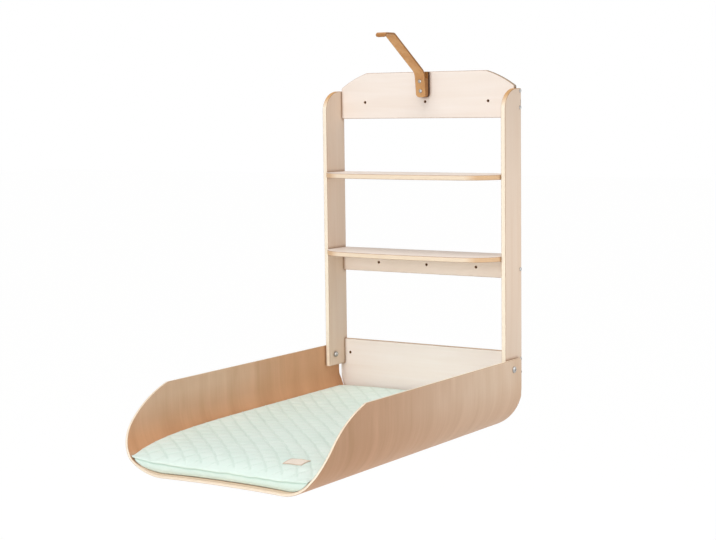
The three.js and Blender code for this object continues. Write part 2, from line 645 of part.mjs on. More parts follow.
function mattressForm() {
  const vertices = [];
  const faces = [];
  const add = (x, y, height) => vertices.push([x, y, floorTop + height]) - 1;
  const quad = (a, b, c, d) => faces.push([a, b, c], [a, c, d]);
  const step = (index, count) => (2 * index) / count - 1;
  const top = [];
  for (let row = 0; row <= rows; row += 1) {
    top.push([]);
    for (let column = 0; column <= columns; column += 1) {
      const [x, y] = planPoint(step(column, columns), step(row, rows), seamHalf);
      const onEdge = row === 0 || row === rows || column === 0 || column === columns;
      const sewn = onEdge || (row + column) % 2 === 0;
      top[row].push(add(x, y, crownHeight(x, y) - (sewn ? QUILT_DEPTH : 0)));
    }
  }
  // Each square is split along its sewn corners, so the channels run straight across the top.
  for (let row = 0; row < rows; row += 1) {
    for (let column = 0; column < columns; column += 1) {
      const [a, b] = [top[row][column], top[row][column + 1]];
      const [d, c] = [top[row + 1][column], top[row + 1][column + 1]];
      if ((row + column) % 2 === 0) quad(a, b, c, d);
      else quad(b, c, d, a);
    }
  }
  // The edge, once round from the front left corner: each entry is a row and a column.
  const loop = [];
  for (let column = 0; column < columns; column += 1) loop.push([0, column]);
  for (let row = 0; row < rows; row += 1) loop.push([row, columns]);
  for (let column = columns; column > 0; column -= 1) loop.push([rows, column]);
  for (let row = rows; row > 0; row -= 1) loop.push([row, 0]);
  const under = new Map();
  const band = loop.map(([row, column]) => {
    const [u, v] = [step(column, columns), step(row, rows)];
    const seam = vertices[top[row][column]];
    const [x, y] = planPoint(u, v, restHalf);
    const inset = Math.abs(v) === 1 ? Math.sign(v) * MATTRESS_BAND_BULGE : 0;
    const low = [x, y - inset, floorTop + liningHeight(x)];
    const push = [Math.abs(u) === 1 ? Math.sign(u) : 0, Math.abs(v) === 1 ? Math.sign(v) : 0];
    const middle = [0, 1, 2].map((axis) => (seam[axis] + low[axis]) / 2);
    const bulge = vertices.push([
      middle[0] + push[0] * MATTRESS_BAND_BULGE,
      middle[1] + push[1] * MATTRESS_BAND_BULGE,
      middle[2],
    ]) - 1;
    const bottom = vertices.push(low) - 1;
    under.set(`${row},${column}`, bottom);
    return [top[row][column], bulge, bottom];
  });
  band.forEach((here, index) => {
    const next = band[(index + 1) % band.length];
    quad(here[1], next[1], next[0], here[0]);
    quad(here[2], next[2], next[1], here[1]);
  });
  // The underside: long strips, and a fan along each side.
  const bottomAt = (row, column) => under.get(`${row},${column}`);
  for (let column = 1; column < columns - 1; column += 1) {
    const [a, b] = [bottomAt(0, column), bottomAt(0, column + 1)];
    quad(a, bottomAt(rows, column), bottomAt(rows, column + 1), b);
  }
  const half = rows / 2;
  for (const [edge, inside] of [[0, 1], [columns, columns - 1]]) {
    const [front, back] = [bottomAt(0, inside), bottomAt(rows, inside)];
    const face = (a, b, c) => faces.push(edge === 0 ? [a, b, c] : [a, c, b]);
    for (let row = 0; row < rows; row += 1) {
      const anchor = row < half ? front : back;
      face(anchor, bottomAt(row, edge), bottomAt(row + 1, edge));
    }
    face(front, bottomAt(half, edge), back);
  }
  const geometry = new THREE.BufferGeometry();
  geometry.setAttribute("position", new THREE.Float32BufferAttribute(vertices.flat(), 3));
  geometry.setIndex(faces.flat());
  return geometryOf(solidOf(geometry));
}
piece(tray, "mattress", cotton, mattressForm());

// Blank label: a small cloth patch that follows the crown
function labelForm() {
  const across = 4;
  const along = 3;
  const patch = new THREE.BoxGeometry(LABEL_WIDTH, LABEL_LENGTH, LABEL_THICKNESS, across, along, 1);
  const front = frontEdge(LABEL_ASIDE) + MATTRESS_FRONT_GAP;
  patch.translate(LABEL_ASIDE, front + LABEL_FROM_FRONT + LABEL_LENGTH / 2, 0);
  const place = patch.getAttribute("position");
  for (let index = 0; index < place.count; index += 1) {
    const crown = crownHeight(place.getX(index), place.getY(index));
    const lift = LABEL_LIFT + LABEL_THICKNESS / 2 + place.getZ(index);
    place.setZ(index, floorTop + crown + lift);
  }
  return geometryOf(solidOf(patch));
}
piece(tray, "mattress_label", labelCloth, labelForm());

// Strap root: dark spacer, doubler and leather on the header's face, held by two screws
function rootOutline(drop) {
  const outline = new THREE.Shape();
  const half = STRAP_WIDTH / 2;
  const inner = half - STRAP_ROOT_CORNER;
  const high = headerTop - drop;
  const low = headerTop - STRAP_BASE_LENGTH;
  const cornerZ = low + STRAP_ROOT_CORNER;
  outline.moveTo(-half, high);
  outline.lineTo(-half, cornerZ);
  outline.absarc(-inner, cornerZ, STRAP_ROOT_CORNER, Math.PI, 1.5 * Math.PI, false);
  outline.lineTo(inner, low);
  outline.absarc(inner, cornerZ, STRAP_ROOT_CORNER, -Math.PI / 2, 0, false);
  outline.lineTo(half, high);
  return outline;
}
const rootLayers = [
  { name: "strap_spacer", thickness: STRAP_SPACER, drop: 0, material: darkLeather },
  { name: "strap_doubler", thickness: STRAP_DOUBLER, drop: STRAP_ROOT_DROP, material: leather },
  { name: "strap_root", thickness: LEATHER, drop: STRAP_ROOT_DROP, material: leather },
];
let layerBack = -PLY - SEAT_GAP;
for (const { name, thickness, drop, material } of rootLayers) {
  const layer = drawnOut(rootOutline(drop), thickness, FORWARD, [0, layerBack, 0]);
  piece(strap, name, material, cutBy(layer, strapScrewHoles));
  layerBack -= thickness + SEAT_GAP;
}
const strapScrewProfile = panScrew(
  SCREW_RADIUS,
  STRAP_SCREW_HEAD_RADIUS,
  SCREW_HEAD_HEIGHT,
  STRAP_SCREW_LENGTH,
);
strapScrewLevels.forEach((level, row) => {
  const screw = turned(strapScrewProfile, FORWARD);
  piece(strap, `strap_screw_${["upper", "lower"][row]}`, steel, screw, [0, strapFace - SEAT_GAP, level]);
});

// Strap arm: bends forward from the root and runs straight to a level tip, whose lip turns down.
// It flexes at the root.
const arm = new THREE.Group();
const flexY = strapFace + LEATHER / 2;
const flexZ = headerTop - STRAP_ROOT_DROP + SEAT_GAP + LEATHER / 2;
arm.position.set(0, flexY, flexZ);
strap.add(arm);

const slope = THREE.MathUtils.degToRad(STRAP_SLOPE);
// Middle line of the arm in its own frame: y forward is negative, z up.
function armLine() {
  const line = new THREE.CurvePath();
  const point = (y, z) => new THREE.Vector2(y, z);
  const bend = Math.PI / 2 - slope;
  const rise = STRAP_ROOT_BEND * Math.sin(bend);
  const reach = STRAP_ROOT_BEND * (1 - Math.cos(bend));
  const straight = [-Math.cos(slope), Math.sin(slope)];
  const armStart = point(-reach, rise);
  const armEnd = armStart.clone().add(point(...straight).multiplyScalar(STRAP_ARM_LENGTH));
  const tipReach = STRAP_TIP_BEND * Math.sin(slope);
  const tipRise = STRAP_TIP_BEND * (1 - Math.cos(slope));
  const tipStart = armEnd.clone().add(point(-tipReach, tipRise));
  const lipStart = tipStart.clone().add(point(-STRAP_TIP_LENGTH, 0));
  const lipTurned = lipStart.clone().add(point(-STRAP_LIP_BEND, -STRAP_LIP_BEND));
  const lipEnd = lipTurned.clone().add(point(0, -STRAP_LIP_LENGTH));
  const arc = (y, z, radius, from, to) => new THREE.EllipseCurve(y, z, radius, radius, from, to, false, 0);
  line.add(arc(-STRAP_ROOT_BEND, 0, STRAP_ROOT_BEND, 0, bend));
  line.add(new THREE.LineCurve(armStart, armEnd));
  line.add(arc(tipStart.x, tipStart.y - STRAP_TIP_BEND, STRAP_TIP_BEND, bend, Math.PI / 2));
  line.add(new THREE.LineCurve(tipStart, lipStart));
  line.add(arc(lipStart.x, lipTurned.y, STRAP_LIP_BEND, Math.PI / 2, Math.PI));
  line.add(new THREE.LineCurve(lipTurned, lipEnd));
  return { line, lipEnd };
}
const { line: strapLine, lipEnd } = armLine();

// Side view of the leather: its middle line with half the thickness to each side and a round root end.
function armOutline() {
  const half = LEATHER / 2;
  const left = [];
  const right = [];
  for (const curve of strapLine.curves) {
    const count = curve.isLineCurve ? 1 : 6;
    for (let index = 0; index <= count; index += 1) {
      const middle = curve.getPoint(index / count);
      const along = curve.getTangent(index / count);
      left.push(new THREE.Vector2(middle.x - half * along.y, middle.y + half * along.x));
      right.push(new THREE.Vector2(middle.x + half * along.y, middle.y - half * along.x));
    }
  }
  const rounding = new THREE.EllipseCurve(0, 0, half, half, Math.PI, 2 * Math.PI, false, 0).getPoints(8);
  const apart = (point, index, list) => index === 0 || point.distanceTo(list[index - 1]) > 1e-3;
  return new THREE.Shape([...rounding, ...right.slice(1), ...left.slice(1).reverse()].filter(apart));
}
const armBlank = drawnOut(armOutline(), STRAP_WIDTH, ALONG_X, [-STRAP_WIDTH / 2, 0, 0]);

// Front view of what rounding takes off a corner of the lip.
function lipCorner(sign) {
  const corner = new THREE.Shape();
  const edge = sign * (STRAP_WIDTH / 2);
  const inner = edge - sign * STRAP_LIP_CORNER;
  const level = lipEnd.y + STRAP_LIP_CORNER;
  const side = sign > 0 ? 0 : Math.PI;
  corner.moveTo(edge + sign, level);
  corner.lineTo(edge, level);
  corner.absarc(inner, level, STRAP_LIP_CORNER, side, 1.5 * Math.PI, sign > 0);
  corner.lineTo(inner, lipEnd.y - 1);
  corner.lineTo(edge + sign, lipEnd.y - 1);
  return corner;
}
const lipBack = lipEnd.x + LEATHER;
const lipCorners = sides.map(({ sign }) =>
  drawnOut(lipCorner(sign), 2 * LEATHER, FORWARD, [0, lipBack, 0]),
);
piece(arm, "strap_arm", leather, cutBy(armBlank, lipCorners));

export default station;
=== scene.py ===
# %% [markdown]
# # A wall-hung baby changing station
# Two plywood uprights carry a header, two shelves, a rail and a lower panel. A tray, bent from one
# sheet of plywood, hangs on two pivots and holds a quilted mattress. A leather strap on the header
# keeps the folded tray up. The imported CAD model is the fixed frame: every piece below is made in its
# place, in metres, and all of them but the strap ride on one of its bodies.

import math

import bmesh
import bpy
import numpy as np
from mathutils import Matrix, Vector
from mathutils.bvhtree import BVHTree
from mathutils.geometry import tessellate_polygon


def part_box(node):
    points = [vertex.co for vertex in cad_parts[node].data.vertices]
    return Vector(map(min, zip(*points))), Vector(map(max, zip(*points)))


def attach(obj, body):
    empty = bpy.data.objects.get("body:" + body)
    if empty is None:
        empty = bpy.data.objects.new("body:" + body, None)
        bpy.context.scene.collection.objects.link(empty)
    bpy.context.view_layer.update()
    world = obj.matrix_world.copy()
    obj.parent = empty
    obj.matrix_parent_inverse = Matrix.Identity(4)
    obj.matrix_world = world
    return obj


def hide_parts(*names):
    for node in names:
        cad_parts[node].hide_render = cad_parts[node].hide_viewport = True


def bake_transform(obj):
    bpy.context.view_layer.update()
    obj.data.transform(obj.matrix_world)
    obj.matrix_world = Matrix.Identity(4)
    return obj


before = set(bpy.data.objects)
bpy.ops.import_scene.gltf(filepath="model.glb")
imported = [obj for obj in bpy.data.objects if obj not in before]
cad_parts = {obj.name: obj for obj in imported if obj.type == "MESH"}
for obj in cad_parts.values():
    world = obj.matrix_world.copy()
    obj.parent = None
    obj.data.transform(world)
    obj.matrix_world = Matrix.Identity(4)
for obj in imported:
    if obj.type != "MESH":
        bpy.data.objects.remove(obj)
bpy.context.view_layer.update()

# %% [markdown]
# ## Helpers for materials
# Colours are read as sRGB codes, and one function adds every shader node. A number that is the same
# all over a surface is set on the shader's own socket, so that it survives the export.


# %% Material helpers
def colour(code):
    """An sRGB hex code as the linear colour that a socket takes."""
    parts = [int(code[at:at + 2], 16) / 255 for at in (1, 3, 5)]
    return (*[p / 12.92 if p <= 0.04045 else ((p + 0.055) / 1.055) ** 2.4 for p in parts], 1.0)


def cells(*sizes):
    """Scale of a Mapping node at which one cell of a pattern is so many millimetres on each axis."""
    return [1000 / size if size else 0.0 for size in sizes]


def add(tree, kind, inputs=(), out=0, **settings):
    """Adds a node, sets or links its inputs by order or by name, and gives one of its outputs."""
    whole = kind.startswith(("Geometry", "Function", "NodeGroup"))
    node = tree.nodes.new(kind if whole else "ShaderNode" + kind)
    for name, value in settings.items():
        setattr(node, name, value)
    for socket, value in inputs.items() if isinstance(inputs, dict) else enumerate(inputs):
        if isinstance(value, bpy.types.NodeSocket):
            tree.links.new(value, node.inputs[socket])
        else:
            node.inputs[socket].default_value = value
    return node.outputs[out] if len(node.outputs) else node


def new_material(name, **sockets):
    """An empty material and its shader's sockets, of which the fixed ones are set here."""
    made = bpy.data.materials.new(name)
    made.use_nodes = True
    tree = made.node_tree
    tree.nodes.clear()
    surface = add(tree, "BsdfPrincipled", {key.replace("_", " "): value for key, value in sockets.items()})
    add(tree, "OutputMaterial", [surface])
    return made, tree, surface.node.inputs

# %% [markdown]
# ## Plywood
# Birch plywood shows two surfaces. Its faces are one sheet of veneer, with a soft figure and short
# fine pores along the grain. Its cut edges show the crossed plies as pale and darker lines. Each board
# carries its own coordinates (along the grain, across it, and through the thickness) as an attribute,
# so one material serves boards that lie in any direction, and the bent tray too. A second attribute
# says how pale a face is drawn: partly veneer that differs from board to board, partly painted light,
# with faces that meet the light drawn paler and faces in shade warmer. A third one darkens drilled
# bores, partly as scorching by the drill and partly as painted shade inside the hole, and also the
# header's cut edges.


# %% Plywood, flat and bent
# The frame's veneer has a figure about 30 mm wide and a third of a metre long, the tray's is a little
# wider. Streaks of growth are 3 mm wide, drawn at 6 mm so that they show. Pores are half a millimetre
# wide, and the plies 1.3 mm thick. Sanded veneer under clear oil is satin.
# The rounded arrises are drawn darker brown. Cut edges are drawn golden brown: a little on all shelf
# edges as their warmer tone, and more where an edge looks up and at the shelves' curved ends, as painted
# shade where little light reaches them. Inner corners are darkened by an occlusion node: painted shade.
PLY = 1.33
GOLDEN_TONE_AND_SHADE, DARK_ARRIS_AND_CORNER_SHADE, CORNER_SHADE_REACH = "#D6A671", "#99683A", 0.009
STREAKS, PORES = (240, 6, 0), (14, 0.55, 0)


def plywood(name, warm, pale, cut, roughness, figure_size, streakiness, corner_shade_strength):
    """Plywood from pairs of a light and a dark colour, for warm and pale veneer and for a cut edge. How much of the
    pale one a face takes is partly painted light.
    """
    made, tree, surface = new_material(name, Specular_IOR_Level=0.2)
    place = add(tree, "Attribute", out="Vector", attribute_name="board")
    paleness, edge, bore_and_rim_dark, gilt = [
        add(tree, "Attribute", out="Fac", attribute_name=key) for key in ("pale", "edge", "bore_and_rim_dark", "gilt")
    ]
    figure, streaks, pores = [
        add(tree, "TexNoise", {
            "Vector": add(tree, "Mapping", {"Vector": place, "Scale": cells(*size)}),
            "Scale": 1.0, "Detail": 2.5, "Distortion": wander,
        })
        for size, wander in ((figure_size, 0.7), (STREAKS, 0.0), (PORES, 0.0))
    ]
    light, dark = [
        add(tree, "Mix", {0: paleness, 6: colour(w), 7: colour(p)}, out=2, data_type="RGBA")
        for w, p in zip(warm, pale)
    ]
    fine = add(tree, "Math", (streaks, streakiness, -0.4 * streakiness), operation="MULTIPLY_ADD")
    tone = add(tree, "Math", (figure, 0.9, fine), operation="MULTIPLY_ADD")
    share = add(tree, "MapRange", (tone, 0.2, 0.85, 0.0, 1.0))
    face = add(tree, "Mix", {0: share, 6: light, 7: dark}, out=2, data_type="RGBA")
    share = add(tree, "MapRange", (pores, 0.6, 0.8, 0.0, 0.3))
    face = add(tree, "Mix", {0: share, 6: face, 7: dark}, out=2, data_type="RGBA")

    depth = add(tree, "SeparateXYZ", [place], out=2)
    layers = add(tree, "Math", (depth, 1000 / PLY), operation="MULTIPLY")
    layers = add(tree, "Math", (layers, 1.0), operation="PINGPONG")
    crossed = add(tree, "MapRange", (layers, 0.3, 0.7, 0.0, 1.0))
    sawn = add(tree, "Mix", {0: crossed, 6: colour(cut[0]), 7: colour(cut[1])}, out=2, data_type="RGBA")
    # Cut edges are drawn golden brown (a warmer tone on shelves, painted shade where they look up), and bores dark
    # brown (scorch, and painted shade inside the hole).
    for share, other in ((gilt, GOLDEN_TONE_AND_SHADE), (bore_and_rim_dark, "#3A2617")):
        sawn = add(tree, "Mix", {0: share, 6: sawn, 7: colour(other)}, out=2, data_type="RGBA")
    both = add(tree, "Mix", {0: edge, 6: face, 7: sawn}, out=2, data_type="RGBA")
    # The rounded arrises are drawn darker brown.
    halfway = add(tree, "Math", (edge, 0.5), operation="SUBTRACT")
    halfway = add(tree, "Math", [halfway], operation="ABSOLUTE")
    dark_arris = add(tree, "MapRange", (halfway, 0.1, 0.42, 0.75, 0.0))
    # Painted shade: inner corners, found by the occlusion node, are drawn in the same dark brown.
    open_air = add(tree, "AmbientOcclusion", {"Distance": CORNER_SHADE_REACH}, out="AO", samples=8)
    corner_shade = add(tree, "MapRange", (open_air, 0.55, 0.95, corner_shade_strength, 0.0))
    for share in (dark_arris, corner_shade):
        both = add(tree, "Mix", {0: share, 6: both, 7: colour(DARK_ARRIS_AND_CORNER_SHADE)}, out=2, data_type="RGBA")
    tree.links.new(both, surface["Base Color"])

    grip = add(tree, "Math", (streaks, pores), operation="ADD")
    gloss = add(tree, "MapRange", (grip, 0.6, 1.4, roughness - 0.06, roughness + 0.1))
    gloss = add(tree, "Math", (edge, 0.2, gloss), operation="MULTIPLY_ADD")
    tree.links.new(gloss, surface["Roughness"])
    height = add(tree, "Math", (crossed, edge, pores), operation="MULTIPLY_ADD")
    bump = add(tree, "Bump", {"Height": height, "Distance": 0.00012, "Strength": 0.5})
    tree.links.new(bump, surface["Normal"])
    return made


CUT_EDGE = ("#FFF6E6", "#F6E4CB")
frame_plywood = plywood(
    "birch_plywood", ("#F0DCC9", "#E6CDB6"), ("#F8F0EA", "#F2E6DC"), CUT_EDGE, 0.50, (330, 29, 0), 0.28, 0.55
)
tray_plywood = plywood(
    "bent_plywood", ("#E2AB81", "#C99369"), ("#EED5BD", "#DBBA9B"), CUT_EDGE, 0.48, (280, 56, 0), 0.28, 0.0
)
print("plywood:", frame_plywood.name, tray_plywood.name)

# %% [markdown]
# ## Cloth, leather and metal
# The mattress cover is a fine plain-weave cotton with a soft nap, in pale mint. The strap is thick
# vegetable-tanned leather: a pebbled grain side, darker pulled-up patches, and burnished edges. The
# screws are bright zinc with faint turning marks.


# %% Cloth materials
def cotton(name, light, dark, thread, sewn_shade_colour):
    """Plain weave with threads so many millimetres apart, soft nap, and darker where the edge attribute says: painted
    shade in sewn grooves and on the mattress's band, and the label's rim.
    """
    made, tree, surface = new_material(
        name, Specular_IOR_Level=0.2, Sheen_Weight=0.25, Sheen_Roughness=0.5, Roughness=0.9
    )
    place = add(tree, "TexCoord", out="Object")
    along = add(tree, "Math", [add(tree, "SeparateXYZ", [place], out=at) for at in (1, 2)], operation="ADD")
    waves = []
    for way in (add(tree, "SeparateXYZ", [place]), along):
        way = add(tree, "Math", (way, 2000 * math.pi / thread), operation="MULTIPLY")
        waves.append(add(tree, "Math", [way], operation="SINE"))
    weave = add(tree, "Math", waves, operation="MULTIPLY")
    weave = add(tree, "Math", (weave, 0.5, 0.5), operation="MULTIPLY_ADD")
    nap, patches = [
        add(tree, "TexNoise", {
            "Vector": add(tree, "Mapping", {"Vector": place, "Scale": cells(size, size, size)}),
            "Scale": 1.0, "Detail": 3.0,
        })
        for size in (1.4, 70)
    ]
    shade = add(tree, "Math", (patches, nap), operation="ADD")
    shade = add(tree, "MapRange", (shade, 0.7, 1.3, 0.0, 1.0))
    cloth = add(tree, "Mix", {0: shade, 6: colour(light), 7: colour(dark)}, out=2, data_type="RGBA")
    # Painted shade: the edge attribute darkens the sewn grooves and the mattress's band.
    sewn_shade = add(tree, "Attribute", out="Fac", attribute_name="edge")
    cloth = add(tree, "Mix", {0: sewn_shade, 6: cloth, 7: colour(sewn_shade_colour)}, out=2, data_type="RGBA")
    tree.links.new(cloth, surface["Base Color"])
    height = add(tree, "Math", (weave, 1.5, nap), operation="MULTIPLY_ADD")
    bump = add(tree, "Bump", {"Height": height, "Distance": 0.0001, "Strength": 0.5})
    tree.links.new(bump, surface["Normal"])
    return made


# Real threads lie 0.4 mm apart; 0.9 mm is as coarse as they need to be to show in a near view.
mattress_cotton = cotton("mint_cotton", "#EBF8F0", "#E0F2E8", 0.9, "#C6DED0")
label_cloth = cotton("woven_label", "#F8EDE0", "#EFE0CF", 0.7, "#B99A7C")
thread_cotton = cotton("sewing_thread", "#EEF6F0", "#E3EEE6", 0.4, "#CBDED2")
label_thread = cotton("label_thread", "#D2B595", "#C3A280", 0.7, "#B99A7C")
print("cloth:", mattress_cotton.name, label_cloth.name, thread_cotton.name, label_thread.name)

# %% Leather and metal materials
def hide(name, light, dark, edge_colour):
    """Leather with a pebbled grain of about a millimetre, blotches of 26 mm, and burnished edges."""
    made, tree, surface = new_material(name, Specular_IOR_Level=0.4)
    place = add(tree, "TexCoord", out="Object")
    edge = add(tree, "Attribute", out="Fac", attribute_name="edge")
    grain = add(tree, "Mapping", {"Vector": place, "Scale": cells(1.1, 1.1, 1.1)})
    pebbles = add(tree, "TexVoronoi", {"Vector": grain, "Scale": 1.0})
    blotches, fine = [
        add(tree, "TexNoise", {
            "Vector": add(tree, "Mapping", {"Vector": place, "Scale": cells(size, size, size)}),
            "Scale": 1.0, "Detail": 4.0, "Distortion": 0.4,
        })
        for size in (26, 2.4)
    ]
    tone = add(tree, "Math", (blotches, 2.3, fine), operation="MULTIPLY_ADD")
    share = add(tree, "MapRange", (tone, 1.2, 2.1, 0.0, 1.0))
    skin = add(tree, "Mix", {0: share, 6: colour(light), 7: colour(dark)}, out=2, data_type="RGBA")
    skin = add(tree, "Mix", {0: edge, 6: skin, 7: colour(edge_colour)}, out=2, data_type="RGBA")
    tree.links.new(skin, surface["Base Color"])
    tree.links.new(add(tree, "MapRange", (tone, 1.0, 2.3, 0.42, 0.6)), surface["Roughness"])
    height = add(tree, "Math", (pebbles, 0.6, fine), operation="MULTIPLY_ADD")
    bump = add(tree, "Bump", {"Height": height, "Distance": 0.00025, "Strength": 0.5})
    tree.links.new(bump, surface["Normal"])
    return made


def turned_or_moulded(name, light, dark, size, roughness, spread, depth, **sockets):
    """A hard finish whose colour and gloss vary over cells of that many millimetres, and its fine bump."""
    made, tree, surface = new_material(name, **sockets)
    place = add(tree, "TexCoord", out="Object")
    smudges, marks = [
        add(tree, "TexNoise", {
            "Vector": add(tree, "Mapping", {"Vector": place, "Scale": cells(*scale)}),
            "Scale": 1.0, "Detail": 3.0,
        })
        for scale in ((size, size, size), (1.1, 0.42, 0.42))
    ]
    shade_of = add(tree, "Mix", {0: smudges, 6: colour(light), 7: colour(dark)}, out=2, data_type="RGBA")
    tree.links.new(shade_of, surface["Base Color"])
    gloss = add(tree, "MapRange", (smudges, 0.3, 0.7, roughness, roughness + spread))
    tree.links.new(gloss, surface["Roughness"])
    bump = add(tree, "Bump", {"Height": marks, "Distance": depth, "Strength": 0.35})
    tree.links.new(bump, surface["Normal"])
    return made


strap_leather = hide("tanned_leather", "#DDAA72", "#C78F58", "#A6703A")
# The spacer is darker leather, and its edges are drawn very dark: partly its colour, partly painted shade in the gap
# beside the strap.
dark_leather = hide("dark_leather", "#A9743C", "#93622F", "#4A2A12")
steel = turned_or_moulded("zinc_steel", "#C6C5C3", "#A09F9D", 6, 0.24, 0.16, 0.00005, Metallic=1.0)
nylon = turned_or_moulded("nylon", "#E9E6DF", "#D8D4CB", 0.45, 0.38, 0.17, 0.00004, Specular_IOR_Level=0.45)
print("leather and metal:", strap_leather.name, dark_leather.name, steel.name, nylon.name)

# %% [markdown]
# ## Helpers for shapes
# A board is cut from a flat sheet, and then its arrises are sanded round by about a millimetre, which
# is what catches the light along every edge. Each board takes its outline, with its drilled holes, from
# the flat face of its CAD solid, so that it lies exactly where the CAD says.


# %% Shape helpers
def shown(name, points, faces, material, **attributes):
    """A smooth-shaded object in the scene, whose large faces keep their own direction."""
    mesh = bpy.data.meshes.new(name)
    mesh.from_pydata([tuple(p) for p in points], [], [tuple(f) for f in faces])
    form = bmesh.new()
    form.from_mesh(mesh)
    bmesh.ops.recalc_face_normals(form, faces=form.faces)
    form.to_mesh(mesh)
    form.free()
    for key, values in attributes.items():
        values = np.asarray(values, np.float32)
        kind = "FLOAT_VECTOR" if values.ndim == 2 else "FLOAT"
        layer = mesh.attributes.new(key, kind, "POINT")
        layer.data.foreach_set("vector" if values.ndim == 2 else "value", values.ravel())
    mesh.materials.append(material)
    shade(mesh)
    made = bpy.data.objects.new(name, mesh)
    bpy.context.scene.collection.objects.link(made)
    return made


def shade(mesh):
    """Shades smooth, with each point's direction weighed by the area of the faces round it."""
    mesh.polygons.foreach_set("use_smooth", [True] * len(mesh.polygons))
    total = np.zeros((len(mesh.vertices), 3))
    for polygon in mesh.polygons:
        total[list(polygon.vertices)] += np.array(polygon.normal) * polygon.area
    total /= np.maximum(np.linalg.norm(total, axis=1, keepdims=True), 1e-12)
    mesh.normals_split_custom_set_from_vertices([tuple(n) for n in total])


def placed(piece, body, slot, *nodes):
    """The piece rides on its body and stands for these CAD nodes."""
    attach(piece, body)
    if nodes:
        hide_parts(*nodes)
    return piece


def face_loops(node, axis, side):
    """Outlines of the flat face of a board, the outer one first, with the solid on their left."""
    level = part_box(node)[side][axis]
    across = [at for at in range(3) if at != axis]
    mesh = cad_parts[node].data
    follows = {}
    for polygon in mesh.polygons:
        points = [mesh.vertices[index].co for index in polygon.vertices]
        if all(abs(point[axis] - level) < 1e-5 for point in points):
            keys = [tuple(round(point[at], 5) for at in across) for point in points]
            for first, second in zip(keys, keys[1:] + keys[:1]):
                if follows.get(second, {}).pop(first, None) is None:
                    follows.setdefault(first, {})[second] = True
    loops = []
    while any(follows.values()):
        here = next(key for key, value in follows.items() if value)
        loop = []
        while follows.get(here):
            loop.append(here)
            here = follows[here].popitem()[0]
        loops.append(np.array(loop))
    loops.sort(key=lambda loop: -np.ptp(loop, axis=0).prod())
    return [loop if (signed_area(loop) > 0) == (index == 0) else loop[::-1] for index, loop in enumerate(loops)]


def signed_area(loop):
    after = np.roll(loop, -1, axis=0)
    return 0.5 * float(np.sum(loop[:, 0] * after[:, 1] - loop[:, 1] * after[:, 0]))


def softened(loop, radius):
    """Rounds each sharp corner of an outline, with a few points."""
    out = []
    for index, point in enumerate(loop):
        before, after = loop[index - 1] - point, loop[(index + 1) % len(loop)] - point
        lengths = np.linalg.norm(before), np.linalg.norm(after)
        before, after = before / lengths[0], after / lengths[1]
        if before @ after < -0.8:
            out.append(point)
            continue
        reach = min(radius, 0.4 * min(lengths))
        start, end = point + before * reach, point + after * reach
        for share in np.linspace(0, 1, 5):
            out.append((1 - share) ** 2 * start + 2 * share * (1 - share) * point + share**2 * end)
    return np.array(out)


def leftward(loop):
    """Unit directions to the left of a path at its points, longer where it turns."""
    after, before = np.roll(loop, -1, axis=0) - loop, loop - np.roll(loop, 1, axis=0)
    after = after / np.maximum(np.linalg.norm(after, axis=1, keepdims=True), 1e-12)
    before = before / np.maximum(np.linalg.norm(before, axis=1, keepdims=True), 1e-12)
    along = after + before
    along /= np.maximum(np.linalg.norm(along, axis=1, keepdims=True), 1e-12)
    stretch = np.clip(1 / np.maximum(np.sum(along * after, axis=1, keepdims=True), 0.5), 1, 1.5)
    return np.stack([-along[:, 1], along[:, 0]], axis=1) * stretch


def arris(thickness, rounding):
    """Steps through a sheet with rounded arrises: depth, how far in from the rim, and the edge share."""
    turn = rounding * (1 - math.sqrt(0.5))
    half = [(0.0, rounding, 0.0), (turn, turn, 0.5), (rounding, 0.0, 1.0)]
    return half + [(thickness - depth, inset, share) for depth, inset, share in reversed(half)]


X, Y, Z = 0, 1, 2
board_count = 0


def golden_tone_and_shade_of(upward):
    """How much golden brown a cut edge takes, from how far it looks up or along the grain, mostly as painted shade."""
    return np.clip((np.asarray(upward) - 0.2) / 0.6, 0, 1)


